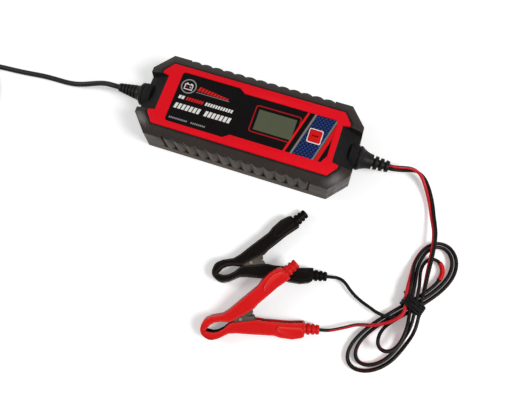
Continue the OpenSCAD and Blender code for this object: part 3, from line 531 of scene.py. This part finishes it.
def facia_film():
    made, tree, shader = surface("printed facia film")
    axes = axes_of(tree, own_place(tree))
    lean = maths(tree, "SUBTRACT", axes[0], product(tree, axes[1], STRIPE_LEAN))
    base = use(tree, MOULDED, Colour=tint(9, 6, 7), Grain=6000, Cloud=0.1, Roughness=0.3,
        Dust=0.005)
    weave = use(tree, WEAVE, Dark=tint(5, 9, 28), Light=tint(38, 62, 124))
    colour = blend(tree, slanted(tree, lean, *WEAVE_PANEL), base["Colour"], weave["Colour"])
    for middle, half, ink in STRIPES:
        colour = blend(tree, slanted(tree, lean, middle, half), colour, tint(*ink))
    line = maths(tree, "ABSOLUTE", round_box(tree, axes[0], axes[1], *DISPLAY_LINE))
    line = product(tree, maths(tree, "LESS_THAN", line, LINE_HALF),
        maths(tree, "LESS_THAN", lean, LINE_STOP))
    colour = blend(tree, line, colour, tint(166, 22, 28))
    dress(tree, shader, colour, base["Roughness"], gloss=0.06)
    raised = maths(tree, "ADD", base["Height"], product(tree, weave["Height"], 0.6))
    bumped(tree, shader, raised, depth=0.00003)
    return made


def window_film():
    """Unlit liquid crystal behind a clear window, faintly uneven and darker round its rim."""
    made, tree, shader = surface("display window")
    look = use(tree, MOULDED, Colour=tint(91, 97, 73), Grain=900, Cloud=0.1, Roughness=0.16,
        Dust=0.01)
    axes = axes_of(tree, own_place(tree))
    rim = round_box(tree, axes[0], axes[1], *WINDOW)
    shade = spread(tree, rim, -WINDOW_SHADE, 0, 0, 0.45)
    colour = blend(tree, shade, look["Colour"], tint(52, 55, 43))
    dress(tree, shader, colour, look["Roughness"], gloss=0.15)
    return made


# ---------------------------------------------------------------- case, cord and clamp skins

# edges of the case's tones, in metres: a pair runs from no effect to the full effect
# bounds of the grip band round the sides: it is matt, and painted paler there as a painted sheen
# on its upright faces
GRIP_SIDE, GRIP_TOP = 0.0338, (0.0243, 0.0236)
# bounds of the end recesses, which are painted near black as painted shade
RECESS_SIDE, RECESS_END, RECESS_FOOT = (0.0186, 0.0180), (0.0800, 0.0806), 0.016
# heights over which the top of the lip turns near black: a painted shadow in the gap round the
# bezel
LIP_SHADOW = (0.0336, 0.0340)
GRIP_MATT, RECESS_MATT = 0.24, 0.5
# where the painted shade on the red core's far side ends, and where the core is black all round
FAR_SHADE_END, BLACK_END = (0.151, 0.147), (0.1195, 0.1185)
# slopes of a clamp cover, as the upward part of its normal, where the sides take painted shade and
# the rounded edges a painted highlight
SIDE_SHADE_SLOPE, EDGE_HIGHLIGHT_SLOPE, EDGE_HIGHLIGHT_FOOT = (0.55, 0.1), (0.96, 0.9), (0.25, 0.45)
# the mouth's dark lining: how squarely it faces the mouth's middle, and its distance from there
LINING_FACING, LINING_REACH = (0.3, 0.45), (0.0175, 0.0165)
# how far from the mouth's middle the painted highlight on the edges reaches
EDGE_HIGHLIGHT_REACH = (0.0725, 0.0705)
# the colour of the painted shade down a cover's sides
SIDE_SHADE_TONE = (0.01, 0.008, 0.008, 1)


def case_shell():
    """Satin dark plastic, matt round the grip; painted sheen makes the grip paler, and painted
    shade turns the end recesses and the top of the lip near black.
    """
    made, tree, shader = surface("case plastic")
    axes = axes_of(tree, own_place(tree))
    x, y = [maths(tree, "ABSOLUTE", axes[i]) for i in (0, 1)]
    side = maths(tree, "GREATER_THAN", y, GRIP_SIDE)
    grip = product(tree, spread(tree, axes[2], *GRIP_TOP), side)
    recess_shade = product(tree, spread(tree, y, *RECESS_SIDE), spread(tree, x, *RECESS_END))
    recess_shade = product(tree, recess_shade, maths(tree, "GREATER_THAN", axes[2], RECESS_FOOT))
    # painted sheen: the grip round the sides is painted paler than the slopes
    colour = blend(tree, grip, tint(43, 35, 31), tint(75, 65, 56))
    # painted shadow: the top of the lip, round the bezel, is painted near black
    colour = blend(tree, spread(tree, axes[2], *LIP_SHADOW), colour, tint(10, 8, 8))
    # painted shade: the end recesses are painted near black
    colour = blend(tree, recess_shade, colour, tint(8, 6, 6))
    look = use(tree, MOULDED, Colour=colour, Grain=2200, Cloud=0.14, Roughness=0.28, Dust=0.02)
    matt = maths(tree, "ADD", product(tree, grip, GRIP_MATT), product(tree, recess_shade, RECESS_MATT))
    rough = maths(tree, "ADD", look["Roughness"], matt, clamp=True)
    dress(tree, shader, look["Colour"], rough, gloss=0.18)
    bumped(tree, shader, look["Height"], depth=0.00005)
    return made


def lead_skin():
    """Red vinyl with painted shade, near black, on its far side, and black all round next to the
    clamp.
    """
    made, tree, shader = surface("red core vinyl")
    x = axes_of(tree, own_place(tree))[0]
    facing = axes_of(tree, put(tree, "ShaderNodeNewGeometry").outputs["Normal"])[1]
    # painted shade: faces turned away from the front, towards +y, are painted near black along the
    # lead from the hank
    far_shade_and_black_end = product(tree, spread(tree, facing, 0.0, 0.1), spread(tree, x, *FAR_SHADE_END))
    far_shade_and_black_end = maths(tree, "MAXIMUM", far_shade_and_black_end, spread(tree, x, *BLACK_END))
    colour = blend(tree, far_shade_and_black_end, tint(190, 16, 28), tint(16, 13, 13))
    look = use(tree, MOULDED, Colour=colour, Grain=2600, Cloud=0.1, Roughness=0.36, Dust=0.02)
    dress(tree, shader, look["Colour"], look["Roughness"], gloss=0.2)
    bumped(tree, shader, look["Height"], depth=0.00004)
    return made


def clamp_vinyl(name, colour, rim, gloss, mouth):
    """Dipped vinyl: painted highlight on its rounded edges, painted shade down the sides, nearly
    black inside the mouth.

    Mouth is the point in the middle of the clamp's mouth, in millimetres.
    """
    made, tree, shader = surface(name)

    def vector(operation, a, b=None):
        return put(tree, "ShaderNodeVectorMath", a, b, operation=operation).outputs

    normal = put(tree, "ShaderNodeNewGeometry").outputs["Normal"]
    rise = axes_of(tree, normal)[2]
    # painted shade: the sides darken towards near black as they turn away from the top
    side = spread(tree, rise, *SIDE_SHADE_SLOPE, 0, 0.4)
    # painted highlight: the rounded edges near the mouth take the lighter rim colour, as if
    # catching the lamps
    edge = product(tree, spread(tree, rise, *EDGE_HIGHLIGHT_SLOPE), spread(tree, rise, *EDGE_HIGHLIGHT_FOOT))
    inward = vector("SUBTRACT", [v * MM for v in mouth], own_place(tree))[0]
    away = vector("LENGTH", inward)["Value"]
    facing = vector("DOT_PRODUCT", vector("NORMALIZE", inward)[0], normal)["Value"]
    lining = product(tree, spread(tree, facing, *LINING_FACING), spread(tree, away, *LINING_REACH))
    edge = product(tree, edge, spread(tree, away, *EDGE_HIGHLIGHT_REACH))
    skin = blend(tree, edge, blend(tree, side, colour, SIDE_SHADE_TONE), rim)
    shaded = blend(tree, lining, skin, tint(20, 15, 14))
    look = use(tree, MOULDED, Colour=shaded, Grain=1900, Cloud=0.14, Roughness=0.3, Dust=0.01)
    dress(tree, shader, look["Colour"], look["Roughness"], gloss)
    bumped(tree, shader, look["Height"], depth=0.00004)
    return made


def board_film():
    """Solder mask with copper tracks under it."""
    made, tree, shader = surface("circuit board")
    tracks = put(tree, "ShaderNodeTexBrick", own_place(tree), None, None, None, 140, 0.02).outputs
    look = use(tree, MOULDED, Colour=tint(22, 92, 48), Grain=1500, Cloud=0.3, Roughness=0.35,
        Dust=0.02)
    colour = blend(tree, tracks["Fac"], look["Colour"], tint(40, 130, 66))
    dress(tree, shader, colour, look["Roughness"])
    bumped(tree, shader, tracks["Fac"], depth=0.00003)
    return made


# ---------------------------------------------------------------- finishes

case_plastic, red_vinyl = case_shell(), lead_skin()
seal_rubber = plastic("seal rubber", tint(22, 20, 20), grain=1800, roughness=0.6, gloss=0.2)
red_plastic = plastic("red bezel plastic", tint(221, 14, 30), grain=3000, cloud=0.06,
    roughness=0.34, dust=0.01, depth=0.00002, gloss=0.08)
button_plastic = plastic("button plastic", tint(204, 14, 18), grain=3200, cloud=0.08,
    roughness=0.32, gloss=0.1)
white_plastic = plastic("white frame plastic", tint(232, 228, 228), grain=3000, cloud=0.08,
    roughness=0.35, gloss=0.2)
black_plastic = plastic("black plastic", tint(11, 9, 9), grain=2600, gloss=0.1)
boot_rubber = plastic("boot rubber", tint(16, 13, 12), grain=1700, cloud=0.15, roughness=0.42,
    dust=0.02, depth=0.00006, gloss=0.14)
cord_rubber = plastic("mains cord rubber", tint(20, 17, 16), grain=1500, cloud=0.15,
    roughness=0.4, dust=0.02, gloss=0.15)
black_vinyl = plastic("black core vinyl", tint(10, 8, 8), grain=2600, cloud=0.15,
    roughness=0.32, dust=0.01, gloss=0.12)
plug_rubber = plastic("plug plastic", tint(20, 18, 17), grain=2300, cloud=0.15, roughness=0.4,
    gloss=0.16)
# rim is the colour of the painted highlight on a cover's rounded edges
black_cover = clamp_vinyl("black clamp vinyl", tint(8, 5, 4), rim=tint(74, 62, 54), gloss=0.07,
    mouth=(23.6, -129.4, 6))
red_cover = clamp_vinyl("red clamp vinyl", tint(211, 13, 15), rim=tint(226, 62, 54), gloss=0.16,
    mouth=(30.4, -172.8, 9))
jaw_steel = metal("jaw steel", tint(84, 78, 72), lines=700, roughness=0.36, tarnish=0.7)
rivet_steel = metal("rivet steel", tint(128, 122, 115), lines=1500, roughness=0.3, tarnish=0.4)
spring_steel = metal("spring steel", tint(120, 114, 108), lines=2400, roughness=0.3, tarnish=0.5)
screw_steel = metal("screw steel", tint(120, 118, 116), lines=1800, roughness=0.3, tarnish=0.4)
pin_nickel = metal("pin nickel", tint(205, 198, 180), lines=2600, roughness=0.18, tarnish=0.15)
sink_aluminium = metal("heat sink aluminium", tint(170, 172, 175), lines=600, roughness=0.4,
    tarnish=0.3)
ferrite = plastic("ferrite", tint(48, 46, 45), grain=900, cloud=0.35, roughness=0.7, depth=0.0001)
sleeve_film = plastic("capacitor sleeve", tint(32, 44, 92), grain=1200, roughness=0.3)
fuse_glass = plastic("fuse body", tint(205, 204, 198), grain=900, cloud=0.1, roughness=0.15,
    coat=0.6)
lead_vinyl = plastic("inner lead vinyl", tint(70, 60, 120), grain=2600, cloud=0.1, roughness=0.4)
facia_print, display_glass, board_mask = facia_film(), window_film(), board_film()
cell_plastic = plastic("display cell plastic", tint(80, 84, 72), grain=1600, cloud=0.1,
    roughness=0.3)
white_ink, grey_ink, red_ink = [
    plastic(name, colour, grain=3000, cloud=cloud, roughness=0.4, gloss=0.1)
    for name, colour, cloud in (("white ink", tint(222, 219, 216), 0.12),
        ("grey ink", tint(140, 138, 138), 0.2), ("red ink", tint(205, 26, 30), 0.12))]

node_finish = {
    "case_seal": seal_rubber, "rubber_feet": seal_rubber, "case_screws": screw_steel,
    "facia_plate": facia_print, "display_lens": display_glass, "display_module": cell_plastic,
    "tactile_switch": black_plastic, "display_board": board_mask, "board_link": screw_steel,
    "main_board": board_mask, "board_screws": screw_steel, "transformer": ferrite,
    "mains_capacitor": sleeve_film, "output_capacitors": sleeve_film,
    "heat_sink": sink_aluminium, "power_transistor": black_plastic, "mains_fuse": fuse_glass,
    "output_inner_leads": lead_vinyl, "mains_inner_leads": lead_vinyl, "plug_pins": pin_nickel,
}
for colour in ("black", "red"):
    for piece in ("lower_jaw", "upper_jaw"):
        node_finish[f"{colour}_{piece}"] = jaw_steel
    node_finish[f"{colour}_rivet"] = rivet_steel


def coat(piece, finish):
    piece.data.materials.clear()
    piece.data.materials.append(finish)


for name, finish in node_finish.items():
    coat(frame["nodes"][name], finish)

# ---------------------------------------------------------------- moulded pieces

WELD = 2e-6
FLAT_ANGLE = 0.6
MOST_CORNERS = 10
EDGE_STEPS = 3

body_of = {name: body for body, names in frame["record"]["behaviour"]["bodies"].items()
    for name in names}


def joined(name):
    """A copy of a node's mesh with its triangles merged into clean faces."""
    work = bmesh.new()
    work.from_mesh(frame["nodes"][name].data)
    bmesh.ops.remove_doubles(work, verts=work.verts, dist=WELD)
    bmesh.ops.dissolve_limit(work, angle_limit=radians(FLAT_ANGLE), verts=work.verts,
        edges=work.edges)
    bmesh.ops.triangulate(work, faces=[f for f in work.faces if len(f.verts) > MOST_CORNERS])
    return work


def finished(work, name, body, finish, smooth=True):
    mesh = bpy.data.meshes.new(name)
    work.to_mesh(mesh)
    work.free()
    for face in mesh.polygons:
        face.use_smooth = smooth
    made = placed(name, mesh)
    mesh.materials.append(finish)
    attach(made, body)
    return made


def soften(made, width, angle):
    """Rounds the edges sharper than the angle, to a width in millimetres."""
    bevel = made.modifiers.new("soft edges", "BEVEL")
    bevel.width = width * MM
    bevel.segments = EDGE_STEPS
    bevel.limit_method = "ANGLE"
    bevel.angle_limit = radians(angle)
    bevel.use_clamp_overlap = True
    bevel.harden_normals = True


def moulding(name, finish, width, angle=28):
    """A node's shape again, with its edges rounded as a mould leaves them."""
    made = finished(joined(name), name + "_moulded", body_of[name], finish)
    soften(made, width, angle)
    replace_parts(made, name)


moulding("upper_case", case_plastic, width=0.55)
moulding("lower_case", case_plastic, width=0.4)
moulding("top_bezel", red_plastic, width=0.19)
moulding("button_frame", white_plastic, width=0.25)
moulding("mode_button", button_plastic, width=0.4)
moulding("output_boot", boot_rubber, width=0.35, angle=20)
moulding("mains_boot", boot_rubber, width=0.3, angle=20)
moulding("plug_body", plug_rubber, width=0.7)

# ---------------------------------------------------------------- clamps, in millimetres

COVER_TOP = 11
COVER_EDGE = 0.8
FLAT_WITHIN = 0.02
# insets of a cover's flat face, which leave its rim standing: width and depth
COVER_RIM = ((0.55, 0), (0.35, 0.45))
PAD_SUNK, PAD_RISE, PAD_SLOPE = 0.6, 1, (1.5, 0.4)
# thumb pad near the end of a handle, in the clamp's own frame
thumb_pad = [(25.5, 16), (28, 14.6), (34, 17.2), (43, 20.4), (45.2, 22), (45.4, 25), (43.6, 26.9),
    (38, 26.6), (33.5, 25), (28.4, 21.4), (26, 18.6)]
# the red clamp leans on the black one, about a line through the tilt point
TILT, TILT_LINE = radians(14), radians(-18.1)
TILT_POINT = Vector((-27.5, -8.8, 0))
tilt = Matrix.Translation(TILT_POINT) @ Matrix.Rotation(TILT, 4,
    (cos(TILT_LINE), sin(TILT_LINE), 0)) @ Matrix.Translation(-TILT_POINT)
clamp_frame = {
    "black": Matrix.Translation((41, -115.4, 0)) @ Matrix.Rotation(radians(34.8), 4, "Z"),
    "red": Matrix.Translation((46.8, -159.4, 0)) @ Matrix.Rotation(radians(36.4), 4, "Z") @ tilt}
# the hinge spring: angles in degrees from its lower end, and a leg's end on the lower arm's side
SPRING_RADIUS, SPRING_WIRE, SPRING_PITCH = 3.1, 0.9, 1
SPRING_START, SPRING_TRAVEL, SPRING_STEP = -106, 868, 12
SPRING_LEG = (19.9, -13.4)
# how much of its upper end the coil leaves out, and how much the upper arm's part takes
COIL_SHORT, LEG_TURN = 37, 75


def flat_faces(work, own, level):
    """The faces at one level of the clamp's own frame."""
    return [f for f in work.faces
        if all(abs((own @ (v.co / MM)).z - level) < FLAT_WITHIN for v in f.verts)]


def raise_by(work, height):
    raised = bmesh.ops.extrude_face_region(work, geom=list(work.faces))["geom"]
    bmesh.ops.translate(work, vec=(0, 0, height),
        verts=[v for v in raised if isinstance(v, bmesh.types.BMVert)])
    bmesh.ops.recalc_face_normals(work, faces=work.faces)


def clamp_cover(colour, arm, finish):
    """One arm's cover again, with rounded edges, rims round both flat faces and a thumb pad."""
    name = f"{colour}_{arm}_cover"
    work = joined(name)
    own = clamp_frame[colour].inverted()
    for level in (0, COVER_TOP):
        flat = set(flat_faces(work, own, level))
        outline = [e for e in work.edges if sum(f in flat for f in e.link_faces) == 1]
        bmesh.ops.bevel(work, geom=outline, offset=COVER_EDGE * MM, offset_type="OFFSET",
            segments=EDGE_STEPS, profile=0.5, affect="EDGES", material=-1, clamp_overlap=True)
        flat = flat_faces(work, own, level)
        for width, sunk in COVER_RIM:
            bmesh.ops.inset_region(work, faces=flat, thickness=width * MM, depth=-sunk * MM,
                use_even_offset=True, use_boundary=True)
    made = finished(work, name + "_moulded", body_of[name], finish)
    soften(made, width=0.2, angle=30)
    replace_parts(made, name)

    pad = bmesh.new()
    side = 1 if arm == "upper" else -1
    pad.faces.new([pad.verts.new((x, side * y, COVER_TOP - PAD_SUNK)) for x, y in thumb_pad])
    raise_by(pad, PAD_RISE)
    top = [f for f in pad.faces if f.normal.z > 0.9]
    bmesh.ops.inset_region(pad, faces=top, thickness=PAD_SLOPE[0], depth=-PAD_SLOPE[1],
        use_even_offset=True)
    bmesh.ops.transform(pad, matrix=Matrix.Scale(MM, 4) @ clamp_frame[colour], verts=pad.verts)
    bmesh.ops.recalc_face_normals(pad, faces=pad.faces)
    made = finished(pad, f"{colour}_{arm}_thumb_pad", body_of[name], finish)
    soften(made, width=0.3, angle=20)


def spring_part(name, colour, first, last, upper, body):
    """A length of the spring's coil between two of its angles, with the lower or upper leg."""
    count = int((last - first) / SPRING_STEP)
    coil = []
    for i in range(count + 1):
        along = first + (last - first) * i / count
        turn = radians(SPRING_START - along)
        coil.append(Vector((SPRING_RADIUS * cos(turn), SPRING_RADIUS * sin(turn),
            COVER_TOP / 2 + SPRING_PITCH * (along - SPRING_TRAVEL / 2) / 360)))
    x, y = SPRING_LEG
    if upper:
        route = coil + [Vector((x, -y, coil[-1].z))]
    else:
        route = [Vector((x, y, coil[0].z))] + coil
    made = tube(name, [clamp_frame[colour] @ p for p in route], SPRING_WIRE, rings=2)
    coat(made, spring_steel)
    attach(made, body)
    return made


for colour, finish in (("black", black_cover), ("red", red_cover)):
    for arm in ("lower", "upper"):
        clamp_cover(colour, arm, finish)
    # the coil stays with the lower arm; the upper leg and the coil's last part swing with the
    # upper arm, over the coil's end, so that the spring stays whole as the clamp opens
    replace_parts(spring_part(f"{colour}_spring_coil", colour, 0, SPRING_TRAVEL - COIL_SHORT,
        False, body_of[f"{colour}_spring"]), f"{colour}_spring")
    spring_part(f"{colour}_spring_leg", colour, SPRING_TRAVEL - LEG_TURN, SPRING_TRAVEL, True,
        body_of[f"{colour}_upper_jaw"])

# ---------------------------------------------------------------- printed marks

FACIA_TOP, CAP_TOP = 34.6, 35.45
INK = 0.04
ARC_STEP = 9
SLANT, TAPER_SLANT = 0.2, 0.35


class Print:
    """Flat marks of one ink, a few hundredths of a millimetre thick, all at one height."""

    def __init__(self, name, ink, height, body="charger", slot="facia_film"):
        self.work = bmesh.new()
        self.name, self.ink, self.height, self.body, self.slot = name, ink, height, body, slot

    def spot(self, x, y):
        return x * MM, y * MM, self.height * MM

    def bar(self, x, y, width, height, lean=0.0):
        """A block by its lower left corner, leaning to the right by lean of its height."""
        shift = lean * height
        self.work.faces.new([self.work.verts.new(self.spot(*corner)) for corner in
            ((x, y), (x + width, y), (x + width + shift, y + height), (x + shift, y + height))])

    def box(self, x, y, width, height, line):
        """The outline of an upright block."""
        self.bar(x, y, width, line)
        self.bar(x, y + height - line, width, line)
        self.bar(x, y + line, line, height - 2 * line)
        self.bar(x + width - line, y + line, line, height - 2 * line)

    def row(self, count, x, step, y, width, height):
        """Slanted bars side by side."""
        for i in range(count):
            self.bar(x + step * i, y, width, height, SLANT)

    def dot(self, x, y, radius):
        bmesh.ops.create_circle(self.work, cap_ends=True, segments=16, radius=radius * MM,
            matrix=Matrix.Translation(self.spot(x, y)))

    def arc(self, x, y, radius, line, start, end):
        """Part of a ring, by its middle, outer radius, line width and angles in degrees."""
        a = radians(start)
        edge = self.work.edges.new([self.work.verts.new(self.spot(x + r * cos(a), y + r * sin(a)))
            for r in (radius - line, radius)])
        bmesh.ops.spin(self.work, geom=[edge] + list(edge.verts), cent=self.spot(x, y),
            axis=(0, 0, 1), angle=radians(end - start), steps=int((end - start) / ARC_STEP))

    def done(self):
        for face in self.work.faces:
            face.normal_update()
        bmesh.ops.reverse_faces(self.work, faces=[f for f in self.work.faces if f.normal.z < 0])
        raise_by(self.work, INK * MM)
        finished(self.work, self.name, self.body, self.ink, smooth=False)


white, grey, red = [Print(f"facia_{ink.name.replace(' ', '_')}", ink, FACIA_TOP) for ink in
    (white_ink, grey_ink, red_ink)]
# a battery in a ring
grey.arc(-59.2, 12.3, 7.1, 1.1, 40, 400)
white.box(-63, 8.9, 7.6, 5.6, 0.75)
white.bar(-61.9, 14.5, 1.5, 0.9)
white.bar(-58, 14.5, 1.5, 0.9)
red.bar(-61.9, 11.4, 1.7, 0.6)
white.bar(-58.4, 11.4, 1.7, 0.6)
white.bar(-57.85, 10.85, 0.6, 1.7)
# a row that tapers to the right over a thin line
for i in range(10):
    red.bar(-50.6 + 2.95 * i, 10.3 - 0.1 * i, 2.2, 4.4 - 0.27 * i, TAPER_SLANT)
grey.bar(-50.9, 8.6, 30.5, 0.5, TAPER_SLANT)
# three rows of bars: count, first corner, step, height on the facia, then a bar's width and height
white.row(2, -64.6, 2.9, -0.9, 2.3, 3.2)
red.row(7, -57.4, 2.3, -0.9, 1.7, 3.2)
white.row(11, -39.6, 2.35, -0.9, 1.6, 3.2)
white.row(7, -65.4, 3.5, -10.6, 2.5, 5.2)
white.row(7, -37.4, 3.5, -10.6, 2.5, 5.2)
grey.row(11, -65.8, 1.55, -20.8, 1.05, 1.5)
grey.row(8, -45.6, 1.7, -20.8, 1.15, 1.5)
for mark in (white, grey, red):
    mark.done()
cap_mark = Print("button_dots", white_ink, CAP_TOP, "button", "white_plastic")
for x in (58.1, 60.1, 62.1):
    cap_mark.dot(x, 0.5, 0.72)
cap_mark.done()

# ---------------------------------------------------------------- tie and sleeve on the hank

TIE_TURNS, TIE_STEPS, TIE_WIRE = 4.5, 24, 2.3
TIE_HALF_WIDTH, TIE_HALF_HEIGHT, TIE_MIDDLE, TIE_LOWEST = 8.1, 6.3, 7.7, 1.2
TIE_SQUARENESS = 0.45
TIE_SPAN, TIE_WOBBLE = 8, 0.25
SLEEVE_HALF, SLEEVE_WALL, SLEEVE_STEPS = (2.0, 3.0), 0.3, slice(5, 11)


def squared(value):
    """Pushes a sine or cosine outwards, which turns a circle into a rounded box."""
    return abs(value) ** TIE_SQUARENESS * (1 if value > 0 else -1)


def tie_route():
    """Close turns of a covered wire round the waist of the hank, with a short tail at each end."""
    made = [(9.8, -4.4, 8.3)]
    for i in range(int(TIE_TURNS * TIE_STEPS) + 1):
        a = 2 * pi * i / TIE_STEPS
        along = -TIE_SPAN / 2 + TIE_SPAN * i / (TIE_TURNS * TIE_STEPS)
        made.append((TIE_HALF_WIDTH * squared(cos(a)), along + TIE_WOBBLE * sin(3 * a + i / 9),
            max(TIE_MIDDLE + TIE_HALF_HEIGHT * squared(sin(a)), TIE_LOWEST)))
    made += [(-9.6, 4.3, 8.4), (-10.8, 5, 8.9), (-11.6, 6, 9.2)]
    return [(HANK_MIDDLE[0] + w * sin(HANK_AXIS) + u * cos(HANK_AXIS),
        HANK_MIDDLE[1] - w * cos(HANK_AXIS) + u * sin(HANK_AXIS), z) for w, u, z in made]


def sleeve(name, points, finish):
    """A shrunk sleeve over both cores of the twin cord, along points in millimetres."""
    work = bmesh.new()
    rings = []
    for i, p in enumerate(points):
        ahead = heading(points, i)
        across = ahead.cross(LEAN).normalized()
        turn = Matrix((across * SLEEVE_HALF[0], across.cross(ahead) * SLEEVE_HALF[1],
            ahead)).transposed().to_4x4()
        ring = bmesh.ops.create_circle(work, segments=20, radius=1,
            matrix=Matrix.Scale(MM, 4) @ Matrix.Translation(p) @ turn)["verts"]
        rings.append(list({e for v in ring for e in v.link_edges}))
    for a, b in zip(rings, rings[1:]):
        bmesh.ops.bridge_loops(work, edges=a + b)
    bmesh.ops.recalc_face_normals(work, faces=work.faces)
    skin = finished(work, name, "charger", finish).modifiers.new("wall", "SOLIDIFY")
    skin.thickness = SLEEVE_WALL * MM
    skin.offset = -1


small_lobe = [Vector(p[:3]) for p in lobe_route(1, *hank_lobes[1])]
sleeve("cord_sleeve", smooth_route(small_lobe[SLEEVE_STEPS], steps=3), red_cover)
hank_tie = tube("hank_twist_tie", tie_route(), TIE_WIRE, rings=3)
coat(hank_tie, black_plastic)
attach(hank_tie, body_of["hank_tie"])
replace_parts(hank_tie, "hank_tie")

# ---------------------------------------------------------------- cords

for cord, finish, slot, stands_for in (
        (mains_cord, cord_rubber, "cord_black", ("mains_cord", "mains_coil")),
        (black_core, black_vinyl, "twin_cord", ("output_cord", "output_hank", "black_lead")),
        (red_core, red_vinyl, "cord_red", ("red_lead",))):
    coat(cord, finish)
    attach(cord, "charger")
    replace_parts(cord, *stands_for)

# ---------------------------------------------------------------- view settings and end

bpy.context.scene.view_settings.view_transform = "Standard"
